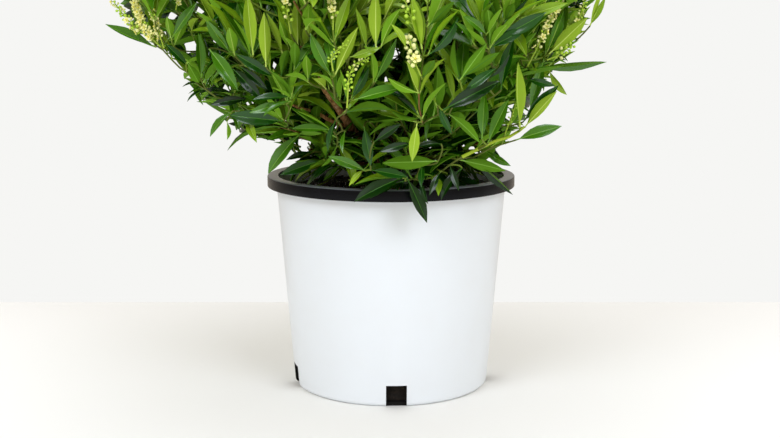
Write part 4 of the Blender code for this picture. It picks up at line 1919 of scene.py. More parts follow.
MIDDLE_LEAVES: tuple[tuple, ...] = (
    (334, 42, 351, -8, 224, FRESH, 5, 0, 4), (376, 49, 376, -10, 230, YOUNG, 10, 0, 0, UNDER),
    (335, 75, 358, 27, 226, YOUNG, 10, 0, 0, UNDER), (331, 75, 310, 32, 220, MID, -18, 0, 1),
    (367, 49, 356, 8, 222, FRESH, 35, 0, 4), (381, 47, 401, 8, 226, FRESH, 30, 0, 1, UNDER),
    (375, 82, 397, 38, 214, MID, 42, 0, 4), (350, 57, 381, 47, 228, FRESH, 30, 10, 1),
    (354, 100, 406, 87, 214, MID, 0, 0, 5), (351, 99, 369, 67, 208, DARK, 25, 0, 0),
    (345, 113, 392, 110, 205, OLD, 35, 0, 3, UNDER), (421, 118, 391, 110, 200, OLD, 58, 0, 1, UNDER),
    (418, 115, 396, 96, 204, OLD, 20, 5, 0), (419, 93, 388, 78, 222, FRESH, 35, 5, 1, UNDER),
    (422, 79, 435, 60, 228, OLD, 20, 25, 6, UNDER), (422, 49, 411, -6, 230, YOUNG, 30, 0, 4),
    (428, 55, 458, 17, 232, DARK, 58, 0, 1), (428, 27, 455, 1, 232, OLD, 15, 0, 5, UNDER),
    (406, 49, 391, 24, 232, YOUNG, 30, 10, 1), (374, 142, 401, 124, 186, OLD, 0, 10, 6),
    (326, 89, 343, 109, 190, OLD, 40, 10, 4, UNDER), (413, 143, 379, 152, 192, OLD, 5, 0, 5),
    (417, 123, 412, 162, 198, YOUNG, 0, 0, 6), (438, 161, 382, 163, 166, MID, 0, 0, 3, UNDER),
    (371, 170, 408, 177, 162, DARK, 0, 0, 6), (402, 178, 354, 202, 158, OLD, 0, 0, 3),
    (405, 181, 370, 199, 152, OLD, 15, 0, 3), (407, 178, 427, 223, 157, OLD, -15, 2, 6),
    (422, 165, 421, 187, 157, DARK, 10, 15, 6), (421, 182, 428, 204, 151, OLD, 20, 10, 3),
    (441, 144, 415, 148, 182, OLD, 20, 10, 1), (462, 168, 441, 201, 152, OLD, 20, 0, 3),
    (450, 165, 459, 191, 153, OLD, 15, 10, 5), (440, 172, 429, 196, 154, OLD, 10, 10, 5),
)
RIGHT_LEAVES: tuple[tuple, ...] = (
    (549, 54, 588, 17, 122, YOUNG, 0, 0, 6, UNDER), (547, 52, 565, 8, 110, MID, 20, 0, 0),
    (536, 69, 607, 62, 92, MID, 92, -10, 4), (549, 70, 567, 95, 98, YOUNG, 40, 0, 1),
    (590, 26, 606, -4, 92, FRESH, 45, 0, 4), (520, 128, 518, 62, 164, YOUNG, 48, 0, 4),
    (525, 127, 557, 91, 136, YOUNG, 15, 0, 0, UNDER), (523, 122, 559, 85, 124, DARK, 0, 0, 0),
    (516, 140, 562, 126, 146, MID, -5, -8, 6), (482, 139, 485, 91, 182, MID, 0, 0, 5),
    (488, 143, 509, 99, 176, MID, -10, 0, 6), (490, 148, 512, 130, 140, FRESH, 0, 10, 6, UNDER),
    (460, 81, 455, 38, 222, OLD, 40, 0, 2, UNDER), (460, 80, 487, 43, 228, MID, 0, 0, 1, UNDER),
    (463, 77, 500, 52, 226, OLD, 15, 0, 5, UNDER), (490, 48, 527, 28, 214, DARK, 0, 0, 6),
    (497, 38, 546, 12, 210, DARK, 25, 0, 1), (519, 19, 568, 3, 202, FRESH, 0, 0, 0),
    (504, 22, 514, 3, 214, OLD, 0, 25, 6, UNDER), (501, 90, 514, 37, 198, DARK, -20, 0, 2),
    (527, 79, 556, 86, 152, DARK, 20, 10, 1), (443, 110, 500, 81, 216, OLD, 10, 0, 1),
    (463, 92, 496, 68, 220, DARK, 15, 5, 5), (488, 79, 510, 54, 208, OLD, 58, 0, 0),
    (439, 106, 452, 134, 210, DARK, 25, 5, 1), (449, 114, 480, 143, 200, MID, 40, 0, 5, UNDER),
    (486, 34, 462, 15, 224, MID, 0, 10, 3), (472, 45, 455, 22, 224, MID, 40, 10, 1),
    (481, 25, 464, -10, 224, FRESH, 20, 0, 4), (460, 160, 506, 171, 132, MID, 10, 0, 5, UNDER),
    (485, 151, 511, 166, 108, MID, 20, 10, 3), (472, 158, 513, 195, 124, OLD, 80, 0, 4),
)
# Twigs, flower spikes and old stems that stand out in the picture
SEEN_TWIGS: tuple[SeenTwig, ...] = (
    SeenTwig(((422, 122), (419, 106), (419, 92)), (196, 216), (1.0, 0.9), Age.STEM),
    SeenTwig(
        ((419, 92), (421, 76), (423, 60), (425, 45), (427, 27), (428, 5), (428, -10)),
        (216, 232), (0.8, 0.6), Age.TWIG,
    ),
    SeenTwig(
        ((462, 157), (478, 149), (495, 141), (509, 137), (519, 131), (524, 127)),
        (168, 150), (1.9, 1.3), Age.SAPPY,
    ),
    SeenTwig(
        ((216, 97), (207, 90), (200, 86), (193, 78), (187, 72), (180, 68), (172, 60), (163, 50), (155, 45)),
        (120, 64), (1.0, 0.8), Age.TWIG,
    ),
    SeenTwig(((335, 98), (334, 88), (332, 79)), (206, 219), (1.2, 1.0), Age.TWIG),
    SeenTwig(((491, 64), (488, 51), (484, 35), (480, 20)), (206, 220), (1.7, 1.1), Age.TWIG),
    SeenTwig(((310, 136), (300, 133), (288, 129), (276, 126)), (106, 120), (0.9, 0.7), Age.STEM),
)
SEEN_RACEMES: tuple[SeenRaceme, ...] = (
    SeenRaceme(((347, 108), (348, 91), (349, 75), (356, 63), (368, 59)), 224, 30, 0, 0.15, 0.86),
    SeenRaceme(((421, 76), (415, 63), (411, 51), (410, 38)), 232, 15, 2, 0.90, 1.30),
    SeenRaceme(((416, 34), (412, 20), (408, 8), (401, -8)), 230, 14, 0, 0.60, 1.10),
    SeenRaceme(((333, 71), (331, 59), (336, 51), (349, 42)), 228, 18, 0, 0.10, 0.75),
    SeenRaceme(((333, 30), (333, 16), (332, 4), (331, -10)), 226, 8, 6, 0.90, 1.00),
    SeenRaceme(((161, 47), (151, 38), (142, 22), (136, 6), (129, -8)), 72, 18, 24, 0.60, 1.00),
    SeenRaceme(((150, 38), (138, 30), (125, 17), (113, 1)), 68, 26, 8, 0.40, 1.00),
    SeenRaceme(((164, 48), (160, 36), (156, 24), (152, 10)), 78, 8, 10, 0.60, 0.90),
    SeenRaceme(((176, 10), (178, -2), (180, -14)), 84, 12, 2, 0.30, 0.90),
    SeenRaceme(((527, 67), (537, 48), (545, 31), (555, 13), (562, -4)), 134, 12, 16, 0.80, 0.90),
    SeenRaceme(((547, 60), (557, 56), (565, 50), (572, 45)), 120, 16, 0, 0.25, 1.05),
    SeenRaceme(((572, 34), (580, 16), (586, -2)), 112, 18, 2, 0.40, 0.85),
    SeenRaceme(((291, 34), (288, 18), (286, 2), (283, -12)), 204, 18, 1, 0.20, 0.95),
    SeenRaceme(((505, 134), (511, 118), (516, 104)), 150, 8, 0, 0.10, 0.60),
)
# Lines in the picture along which nothing hides what is behind: the old stem, the mix beside it
# on both sides, and the dark hollow right of the middle. Each has its two ends and its front.
OPEN_LINES: tuple[tuple[float, float, float, float, float], ...] = (
    (357, 139, 334, 106, 96), (352, 138, 328, 102, 96), (361, 135, 340, 104, 96),
    (333, 106, 319, 88, 124), (338, 103, 327, 88, 124), (318, 116, 334, 125, 106),
    (292, 180, 345, 183, 74), (300, 175, 342, 177, 74), (310, 172, 330, 172, 74),
    (452, 182, 500, 178, 74), (462, 176, 498, 174, 74),
    (402, 42, 401, 70, 120), (398, 52, 396, 78, 120),
)
# Small gaps of the crown through which the picture shows the wall: place and radius in pixels
SKY_GAPS: tuple[tuple[float, float, float], ...] = (
    (191, 42, 3.5), (190, 49, 3.5), (172, 16, 3), (201, 10, 3), (229, 88, 2), (249, 103, 2), (274, 65, 2),
    (303, 147, 4), (306, 142, 3), (394, 53, 2.5), (387, 79, 2), (472, 149, 2), (510, 106, 3), (508, 116, 3),
    (206, 83, 2.5),
)


@dataclass(frozen=True)
class SeenOutline:
    """How far the crown's leaves reach in the picture: (height, x) from the top down, in pixels."""

    left: tuple[tuple[float, float], ...] = (
        (-60, 84), (0, 100), (24, 120), (36, 138), (48, 160), (60, 172), (75, 182), (92, 190), (104, 197),
        (110, 214), (125, 224), (134, 238), (140, 262), (146, 292), (156, 292), (178, 283), (240, 300),
    )
    right: tuple[tuple[float, float], ...] = (
        (-60, 616), (0, 600), (15, 594), (28, 588), (45, 578), (60, 572), (72, 560), (85, 556), (95, 546),
        (108, 536), (120, 528), (140, 515), (150, 505), (166, 500), (240, 480),
    )

    def reach(self, line: Sequence[tuple[float, float]], y: float) -> float:
        """Finds the x of one side.

        Args:
            line: The side, left or right.
            y: The height in the picture.

        Returns:
            The x there.
        """
        for (high, start), (low, end) in zip(line, line[1:]):
            if y < low:
                return mixed(start, end, max(0.0, (y - high) / (low - high)))
        return line[-1][1]

    def holds(self, x: float, y: float) -> bool:
        """Returns whether a place in the picture lies inside the crown."""
        return self.reach(self.left, y) < x < self.reach(self.right, y)


@dataclass(frozen=True)
class OldStem:
    """An old stem with peeling bark by its places in the picture, which leaves a bough."""

    name: str
    mass: str
    path: tuple[tuple[float, float, float], ...]
    radii: tuple[float, ...]
    leafy_from: int

    def limb(self, view: Viewpoint) -> Limb:
        """Returns the stem's axis and radii."""
        return Limb([view.point_at(x, y, front) for x, y, front in self.path], list(self.radii))


OLD_STEMS: tuple[OldStem, ...] = (
    OldStem(
        "old_stem_left", "middle_foliage_1",
        (
            (370, 152, 6), (361, 142, 34), (352, 129, 62), (343, 115, 86), (334, 102, 104),
            (324, 89, 120), (313, 70, 136), (301, 46, 152),
        ),
        (0.0048, 0.0048, 0.0046, 0.0043, 0.0039, 0.0031, 0.0020, 0.0012), 5,
    ),
    OldStem(
        "old_side_stem", "middle_foliage_1",
        ((350, 126, 68), (341, 125, 76), (329, 120, 88), (316, 112, 102), (300, 108, 122), (288, 103, 142)),
        (0.0021, 0.0021, 0.0020, 0.0017, 0.0014, 0.0011), 3,
    ),
)


@dataclass(frozen=True)
class Spike:
    """The sizes of a flower spike. Pairs are at its foot and tip, or the least and the most."""

    stalk_radii: tuple[float, float] = (0.0009, 0.0005)
    pedicel_radii: tuple[float, float] = (0.0005, 0.0004)
    pedicels: tuple[float, float] = (0.0036, 0.0018)
    buds: tuple[float, float] = (0.0037, 0.0025)
    bud_play: tuple[float, float] = (0.85, 1.15)
    bloom: float = 0.0088
    forward: float = 0.5
    bare_share: float = 0.22
    lengths: tuple[float, float] = (0.045, 0.060)
    root_share: float = 0.82
    spread: float = 0.5
    bend: float = 0.5
    lift: float = 0.8
    points: int = 8
    seen_points: int = 10
    room: float = 0.003
    by_height: float = 1.4
    flowers: int = 24
    blooms: tuple[int, ...] = (0, 0, 2, 8, 14)
    cream: tuple[float, float] = (0.1, 0.9)
    usual_size: float = 0.95


@dataclass
class Foliage:
    """The masses of foliage: twigs of three orders, with leaves and flower spikes on them.

    Limbs are the wood that nothing may cross. Sizes are in metres, but sky_front, gap_depth and
    gap_fronts in mm, and leafy_edge, sky_room, gap_step, gap_inset, gap_top and gap_low in pixels.
    """

    habit: Habit
    view: Viewpoint
    masses: list[Mass]
    limbs: list[Limb]
    seed: int = 21
    spike: Spike = Spike()
    outline: SeenOutline = SeenOutline()
    twig_sides: int = 6
    # How far towards the viewer what is seen in the picture is kept clear
    sight_start: float = 0.003
    sight: float = 0.17
    far_sight: float = 0.26
    deep_sight: float = 0.62
    spike_sides: tuple[float, ...] = (-0.004, 0.0, 0.004)
    open_points: int = 5
    sky_front: float = -300.0
    sky_ways: tuple[tuple[float, float], ...] = ((1.0, 0.0), (0.0, 1.0), (0.7, 0.7), (0.7, -0.7))
    sky_room: float = 3.0
    # How far a seen leaf's upper side turns to the light
    tilt: float = 0.28
    # How young leaves are, by their height and by how far out in the crown they are
    young_from: float = 0.30
    young_rise: float = 0.20
    outer_from: float = 0.45
    outer_rise: float = 0.5
    youth_least: float = 0.15
    youth_by_height: float = 0.52
    youth_by_depth: float = 0.22
    youth_play: float = 0.36
    old_youth: float = 0.8
    seen_youth: float = 0.7
    # How much of a mass's stem shows, and the room that it keeps to the picture's outline
    stem_share: float = 0.6
    leafy_edge: float = 22.0
    # The shoots that join what is seen to the twigs
    joined: float = 0.0015
    long_join: float = 0.014
    join_reach: float = 0.12
    join_aside: float = 1.6
    join_above: float = 1.5
    join_launch: float = 1.2
    join_bend: float = 0.38
    join_taper: float = 0.95
    join_radius: float = 0.0007
    join_youth: float = 0.6
    # The leaves behind the gaps that the picture doesn't show
    gap_step: float = 3.0
    gap_inset: float = 13.0
    gap_top: float = -24.0
    gap_low: float = 158.0
    gap_depth: float = 330.0
    gap_fronts: tuple[float, ...] = (-20, -50, -80, -110, -140, -170, -200)
    gap_reach: tuple[float, float] = (0.012, 0.060)
    gap_least: float = 0.7
    gap_most: float = 1.1
    gap_share: float = 1.9
    gap_tones: float = 2.6
    gap_trials: int = 24

    def __post_init__(self) -> None:
        """Marks the wood as taken, and lays out the leaves' outlines."""
        self.draw = random.Random(self.seed)
        self.clutter = Clutter()
        for limb in [*self.limbs, *(mass.stem for mass in self.masses)]:
            self.clutter.keep(*slats(limb))
        self.twigs: dict[str, list[Twig]] = {mass.name: [] for mass in self.masses}
        self.leaves: dict[str, list[Sprig]] = {mass.name: [] for mass in self.masses}
        self.flowers: dict[str, list[Sprig]] = {mass.name: [] for mass in self.masses}
        stations = self.habit.blade_stations
        self.outlines = [[shape.edges(share) for share in stations] for shape in LEAF_SHAPES]

    def free(self, point: Vector, reach: float = 1.0) -> bool:
        """Returns whether growth may come to a point, by the habit and by the picture's outline."""
        return self.habit.clear(point, reach) and self.outline.holds(*self.view.place_of(point))

    def well_inside(self, point: Vector) -> bool:
        """Returns whether a point lies far enough inside the picture's outline to be leafy."""
        x, y = self.view.place_of(point)
        return all(self.outline.holds(x + shift, y) for shift in (-self.leafy_edge, self.leafy_edge))

    def youth_at(self, point: Vector, ring: BoughRing) -> float:
        """Draws how young the leaves of a twig are: younger up and out in the crown.

        Args:
            point: Where the twig ends.
            ring: Its mass's ring.

        Returns:
            The youth, from 0 to 1.
        """
        out = (self.habit.crown.depth(point) - self.outer_from) / self.outer_rise
        high = (point.z - self.young_from) / self.young_rise
        share = self.youth_least + self.youth_by_height * clamped(high) + self.youth_by_depth * clamped(out)
        return clamped(share + ring.youth + self.draw.uniform(-self.youth_play, self.youth_play))

    def add_twig(
        self, mass: Mass, limb: Limb, place: float, turn: float, length: float, age: Age
    ) -> Twig | None:
        """Grows a twig if its space lets it, shorter if need be.

        Args:
            mass: The mass that it belongs to.
            limb: The limb that bears it.
            place: The share of the limb where it leaves.
            turn: The turn round the limb.
            length: Its full length.
            age: Its order.

        Returns:
            The twig, or nothing.
        """
        habit = self.habit
        spread = habit.twig_spread if age is Age.TWIG else habit.shoot_spread
        for share in habit.trials:
            twig = habit.side_twig(limb, place, turn, length * share, spread)
            if not all(self.free(point, habit.twig_depth) for point in twig.points[1:]):
                continue
            patch = slats(twig.beyond(1))
            if not self.clutter.hits(*patch):
                self.clutter.keep(*patch)
                self.twigs[mass.name].append(Twig(twig, age, self.youth_at(twig.points[-1], mass.ring)))
                return self.twigs[mass.name][-1]
        return None

    def grow_twigs(self, mass: Mass) -> None:
        """Grows the twigs round the stem, and the shoots round each twig, by the golden angle.

        Args:
            mass: The mass.
        """
        ring = mass.ring
        habit = self.habit
        stem = mass.stem
        shown = math.ceil(len(stem.points) * self.stem_share)
        while shown < len(stem.points) and self.well_inside(stem.points[shown]):
            shown += 1
        visible = Limb(stem.points[:shown], stem.radii[:shown])
        self.twigs[mass.name].append(Twig(visible, Age.STEM, self.youth_at(stem.points[-1], ring)))
        turn = self.draw.uniform(0.0, math.tau)
        for share in steps(ring.twigs):
            place = mixed(habit.twigs_from, habit.twigs_to, share)
            turn += GOLDEN_ANGLE
            length = ring.twig_length * self.draw.uniform(*habit.twig_play)
            length *= mixed(1.0, habit.twig_taper, place)
            twig = self.add_twig(mass, stem, place, turn, length, Age.TWIG)
            if twig is None:
                continue
            side = self.draw.uniform(0.0, math.tau)
            for along in steps(habit.shoots):
                at = mixed(habit.shoots_from, habit.shoots_to, along)
                side += GOLDEN_ANGLE
                reach = length * habit.shoot_share * self.draw.uniform(*habit.shoot_play)
                self.add_twig(mass, twig.limb, at, side, reach, Age.SHOOT)

    def leaf_on(self, twig: Twig, share: float, turn: float, ring: BoughRing, trial: int) -> Sprig:
        """Returns a leaf at a share of a twig's length.

        Args:
            twig: The twig that bears it.
            share: The share of its length.
            turn: The turn round it.
            ring: The ring that the twig belongs to.
            trial: The number of the trial, which shrinks the leaf.

        Returns:
            The leaf.
        """
        habit = self.habit
        draw = self.draw.uniform
        point, way, thick = twig.limb.along(share)
        spread = mixed(habit.base_spread, habit.tip_spread, share**habit.spread_power)
        angle = math.radians(spread + draw(-habit.spread_play, habit.spread_play))
        out = around(way, turn + draw(-habit.turn_play, habit.turn_play))
        lift = ring.leaf_lift + draw(-habit.lift_play, habit.lift_play)
        aim = (way * math.cos(angle) + out * math.sin(angle) + UP * lift * habit.lift_share).normalized()
        face = (UP - aim * UP.dot(aim)) + (way - aim * way.dot(aim)) * habit.face_share
        size = habit.leaf_length * mixed(*habit.leaf_sizes, share**2) * draw(*habit.leaf_play)
        size *= 1.0 - habit.leaf_shrink * trial
        youth = twig.youth + habit.tone_rise * (share - habit.even_at)
        youth += draw(-habit.tone_play, habit.tone_play)
        tone = max(0, min(len(Tone) - 1, int(youth * len(Tone))))
        shape = self.draw.randrange(len(LEAF_SHAPES))
        return Sprig(point + out * thick * habit.leaf_seat, aim, face.normalized(), size, shape, tone)

    def blade_of(self, leaf: Sprig) -> Patch:
        """Lays a leaf's blade as a strip of quads beyond its stalk.

        Args:
            leaf: The leaf.

        Returns:
            The blade's corners and faces.
        """
        turn = leaf.matrix()
        corners = [leaf.placed(edge, turn) for pair in self.outlines[leaf.shape] for edge in pair]
        return corners, [(k, k + 1, k + 3, k + 2) for k in range(0, len(corners) - 2, 2)]

    def take(self, name: str, leaf: Sprig) -> Patch | None:
        """Adds a leaf to a mass if its space is free.

        Args:
            name: The mass's name.
            leaf: The leaf.

        Returns:
            Its blade, or nothing where its space is taken.
        """
        patch = self.blade_of(leaf)
        if not all(self.free(corner) for corner in patch[0]) or self.clutter.hits(*patch):
            return None
        self.clutter.keep(*patch)
        self.leaves[name].append(leaf)
        return patch

    def grow_leaves(self, mass: Mass, twig: Twig) -> None:
        """Sets leaves along a twig by the golden angle, closer towards its tip.

        Args:
            mass: The mass that the twig belongs to.
            twig: The twig.
        """
        habit = self.habit
        if twig.age > Age.SHOOT:
            return
        start = habit.leafy_from[twig.age]
        count = max(habit.least_leaves, round(twig.limb.length() * (1.0 - start) / habit.leaf_spacing))
        turn = self.draw.uniform(0.0, math.tau)
        for along in steps(count):
            share = mixed(start, 1.0, along**habit.crowding)
            turn += GOLDEN_ANGLE
            for trial in range(habit.leaf_trials):
                if self.take(mass.name, self.leaf_on(twig, share, turn, mass.ring, trial)):
                    break

    def bearers(self) -> Iterable[tuple[Mass, Vector, float]]:
        """Goes through the places of the twigs that can bear something.

        Yields:
            The mass, the place and the twig's radius there.
        """
        for mass in self.masses:
            for twig in self.twigs[mass.name]:
                if twig.age is not Age.STALK:
                    for place, radius in zip(twig.limb.points[1:], twig.limb.radii[1:]):
                        yield mass, place, radius

    def join(self, point: Vector, leave: Vector) -> Mass:
        """Grows a shoot to a point from the limb that best bears it: near, and inward of it.

        Args:
            point: Where the shoot ends.
            leave: The way that what stands on it points.

        Returns:
            The mass that the shoot belongs to.
        """
        inward = (HEART - point).normalized()
        least = math.inf
        mass, root, radius = self.masses[0], point, 0.0
        for bearer, place, thick in self.bearers():
            away = (place - point).length
            if away > self.join_reach:
                continue
            sideways = 1.0 - inward.dot((place - point).normalized())
            cost = away * (1.0 + self.join_aside * sideways)
            cost += self.join_above * max(0.0, place.z - point.z)
            if cost < least:
                least = cost
                mass, root, radius = bearer, place, thick
        length = (point - root).length
        if length > self.joined:
            arrive = (leave + (point - root).normalized() * self.join_launch).normalized()
            control = point - arrive * length * self.join_bend
            thick = max(radius * self.join_taper, self.join_radius)
            limb = self.habit.arched(root, control, point, thick)
            self.clutter.keep(*slats(limb.beyond(1)))
            age = Age.TWIG if length > self.long_join else Age.SHOOT
            self.twigs[mass.name].append(Twig(limb, age, self.join_youth))
        return mass

    def seen_sprig(self, seen: SeenLeaf) -> Sprig:
        """Places a leaf that is seen in the picture.

        Args:
            seen: Its places there.

        Returns:
            The leaf.
        """
        foot = self.view.point_at(seen.foot_x, seen.foot_y, seen.front)
        tip = self.view.point_at(seen.tip_x, seen.tip_y, seen.front + seen.lift)
        shape = LEAF_SHAPES[seen.shape]
        chord = (tip - foot).normalized()
        sight = (self.view.eye() - mixed(foot, tip, 0.5)).normalized()
        if seen.side is Side.UPPER:
            sight = (sight + UP * self.tilt).normalized()
        face = (sight - chord * sight.dot(chord)).normalized() * int(seen.side)
        face = Matrix.Rotation(math.radians(seen.roll), 3, chord) @ face
        angle = shape.chord()
        aim = chord * math.cos(angle) - face * math.sin(angle)
        raised = chord * math.sin(angle) + face * math.cos(angle)
        return Sprig(foot, aim, raised, (tip - foot).length / shape.reach(), seen.shape, int(seen.tone))

    def keep_in_sight(self, line: Sequence[Vector], sight: float) -> None:
        """Keeps the space between a line and the viewer clear of growth.

        Args:
            line: The line's points.
            sight: How far towards the viewer.
        """
        corners = [
            point + (self.view.eye() - point).normalized() * reach
            for reach in (self.sight_start, sight) for point in line
        ]
        count = len(line)
        faces = [(k, k + 1, count + k + 1, count + k) for k in range(count - 1)]
        self.clutter.keep(corners, faces, solid=False)

    def plan_seen(self) -> list[Sprig]:
        """Marks the space of what is seen in the picture, and of the sight to it.

        Returns:
            The seen leaves.
        """
        sprigs = [self.seen_sprig(SeenLeaf(*row)) for row in (*LEFT_LEAVES, *MIDDLE_LEAVES, *RIGHT_LEAVES)]
        for leaf in sprigs:
            corners, faces = self.blade_of(leaf)
            self.clutter.keep(corners, faces)
            lefts, rights = corners[0::2], corners[1::2]
            middles = [mixed(left, right, 0.5) for left, right in zip(lefts, rights)]
            for line in (lefts, middles, rights):
                self.keep_in_sight(line, self.sight)
        for raceme in SEEN_RACEMES:
            for shift in self.spike_sides:
                line = [point + Vector((shift, 0.0, 0.0)) for point in raceme.line(self.view)]
                self.keep_in_sight(line, self.sight)
        for twig in SEEN_TWIGS:
            self.keep_in_sight(twig.limb(self.view).points, self.sight)
        for x0, y0, x1, y1, front in OPEN_LINES:
            ends = self.view.point_at(x0, y0, front), self.view.point_at(x1, y1, front)
            self.keep_in_sight([mixed(*ends, share) for share in steps(self.open_points)], self.far_sight)
        for x, y, radius in SKY_GAPS:
            for way_x, way_y in self.sky_ways:
                line = [
                    self.view.point_at(
                        x + way_x * radius * side, y + way_y * radius * side, self.sky_front
                    )
                    for side in (-1.0, 0.0, 1.0)
                ]
                self.keep_in_sight(line, self.deep_sight)
        return sprigs

    def add_spike(
        self, mass: Mass, line: list[Vector], counts: tuple[int, int], cream: float, size: float
    ) -> None:
        """Sets a flower spike along a line.

        Args:
            mass: The mass that it belongs to.
            line: The stalk's points.
            counts: How many buds and how many open flowers it has.
            cream: The share of its buds that are about to open.
            size: The size of buds and flowers, as a share of the usual.
        """
        spike = self.spike
        stalk = Limb(line, [mixed(*spike.stalk_radii, share) for share in steps(len(line))])
        self.twigs[mass.name].append(Twig(stalk, Age.STALK, 0.0))
        self.clutter.keep(*slats(stalk))
        turn = self.draw.uniform(0.0, math.tau)
        total = sum(counts)
        opened = set(self.draw.sample(range(total), counts[1]))
        for index in range(total):
            share = mixed(spike.bare_share, 1.0, (index + 0.5) / total)
            turn += GOLDEN_ANGLE
            point, way, _ = stalk.along(share)
            out = (around(way, turn) + way * spike.forward).normalized()
            foot = point + out * (mixed(*spike.pedicels, share) * size)
            pedicel = Limb([point, foot], list(spike.pedicel_radii))
            self.twigs[mass.name].append(Twig(pedicel, Age.STALK, 0.0))
            if index in opened:
                kind, tone, width = 1, 2, spike.bloom * size
            else:
                kind, tone = 0, int(self.draw.random() < cream)
                width = mixed(*spike.buds, share) * size * self.draw.uniform(*spike.bud_play)
            self.flowers[mass.name].append(Sprig(foot, across(out)[0], out, width, kind, tone))

    def grow_spikes(self, mass: Mass) -> None:
        """Grows flower spikes from the tips of a mass's youngest twigs.

        Args:
            mass: The mass.
        """
        spike = self.spike
        ends = [twig for twig in self.twigs[mass.name] if twig.age in (Age.TWIG, Age.SHOOT)]
        ends.sort(key=lambda twig: -(twig.youth + spike.by_height * twig.limb.points[-1].z))
        made = 0
        for twig in ends:
            if made == mass.ring.racemes:
                return
            root, way, _ = twig.limb.along(spike.root_share)
            launch = (way + around(way, self.draw.uniform(0.0, math.tau)) * spike.spread).normalized()
            length = self.draw.uniform(*spike.lengths)
            end = root + (launch + UP * spike.lift).normalized() * length
            control = root + launch * length * spike.bend
            line = [bend(root, control, end, share) for share in steps(spike.points)]
            slim = slats(Limb(line[1:], [spike.room] * (len(line) - 1)))
            if not all(self.free(point) for point in line) or self.clutter.hits(*slim):
                continue
            self.clutter.keep(*slim)
            blooms = self.draw.choice(spike.blooms)
            counts = spike.flowers - blooms, blooms
            self.add_spike(mass, line, counts, self.draw.uniform(*spike.cream), spike.usual_size)
            made += 1

    def grow(self) -> None:
        """Grows every mass: what is seen in the picture first, then twigs, spikes and leaves."""
        sprigs = self.plan_seen()
        for old in OLD_STEMS:
            stem = old.limb(self.view)
            self.clutter.keep(*slats(stem))
            self.twigs[old.mass].append(Twig(stem.beyond(old.leafy_from), Age.TWIG, self.old_youth))
        for mass in self.masses:
            self.grow_twigs(mass)
        for twig in SEEN_TWIGS:
            limb = twig.limb(self.view)
            mass = self.join(limb.points[0], (limb.points[1] - limb.points[0]).normalized())
            self.clutter.keep(*slats(limb))
            self.twigs[mass.name].append(Twig(limb, twig.age, self.seen_youth))
        for leaf in sorted(sprigs, key=lambda leaf: (leaf.foot - HEART).length):
            mass = self.join(leaf.foot, leaf.aim)
            self.leaves[mass.name].append(leaf)
        for raceme in SEEN_RACEMES:
            points = raceme.line(self.view)
            mass = self.join(points[0], (points[1] - points[0]).normalized())
            limb = Limb(points, [MM] * len(points))
            line = [limb.along(share)[0] for share in steps(self.spike.seen_points)]
            self.add_spike(mass, line, (raceme.buds, raceme.blooms), raceme.cream, raceme.size)
        for mass in self.masses:
            self.grow_spikes(mass)
        for mass in self.masses:
            for twig in reversed(self.twigs[mass.name]):
                self.grow_leaves(mass, twig)
        self.close_gaps()
        LOG.info("leaves: %d", sum(len(leaves) for leaves in self.leaves.values()))
        LOG.info("twigs: %d", sum(len(twigs) for twigs in self.twigs.values()))

    def close_gaps(self) -> None:
        """Sets a leaf behind each gap in the crown where the picture shows no sky."""
        trees = [Clutter.tree_of(self.clutter.solid)]
        y = self.gap_top
        while y < self.gap_low:
            x = self.outline.reach(self.outline.left, y) + self.gap_inset
            while x < self.outline.reach(self.outline.right, y) - self.gap_inset:
                near, far = (self.view.point_at(x, y, side * self.gap_depth) for side in (1.0, -1.0))
                reach = (far - near).length
                way = (far - near).normalized()
                is_sky = any(
                    math.hypot(x - at, y - high) < radius + self.sky_room for at, high, radius in SKY_GAPS
                )
                if not is_sky and all(tree.ray_cast(near, way, reach)[0] is None for tree in trees):
                    patch = self.gap_leaf(x, y, way)
                    if patch:
                        trees.append(BVHTree.FromPolygons(*patch))
                x += self.gap_step
            y += self.gap_step
        LOG.info("gaps closed: %d", len(trees) - 1)

    def gap_leaf(self, x: float, y: float, way: Vector) -> Patch | None:
        """Sets a leaf across a line of sight, on the twig behind the crown's middle nearest to it.

        Args:
            x: The gap's place in the picture, in pixels.
            y: Its height in the picture.
            way: The way that the line of sight runs.

        Returns:
            The leaf's blade, or nothing where no twig is near enough.
        """
        nearest, farthest = self.gap_reach
        found: list[tuple[float, str, Vector, Vector]] = []
        for front in self.gap_fronts:
            middle = self.view.point_at(x, y, front)
            if not self.habit.clear(middle):
                continue
            for mass, place, _ in self.bearers():
                away = (place - middle).length
                if nearest < away < farthest:
                    found.append((away, mass.name, place, middle))
        found.sort(key=lambda item: item[0])
        usual = self.habit.leaf_length
        for away, name, place, middle in found[:self.gap_trials]:
            aim = (middle - place).normalized()
            face = (-way - aim * -way.dot(aim)).normalized()
            size = min(usual * self.gap_most, max(away * self.gap_share, usual * self.gap_least))
            shape = self.draw.randrange(len(LEAF_SHAPES))
            tone = int(self.draw.random() * self.gap_tones)
            patch = self.take(name, Sprig(place, aim, face, size, shape, tone))
            if patch:
                return patch
        return None

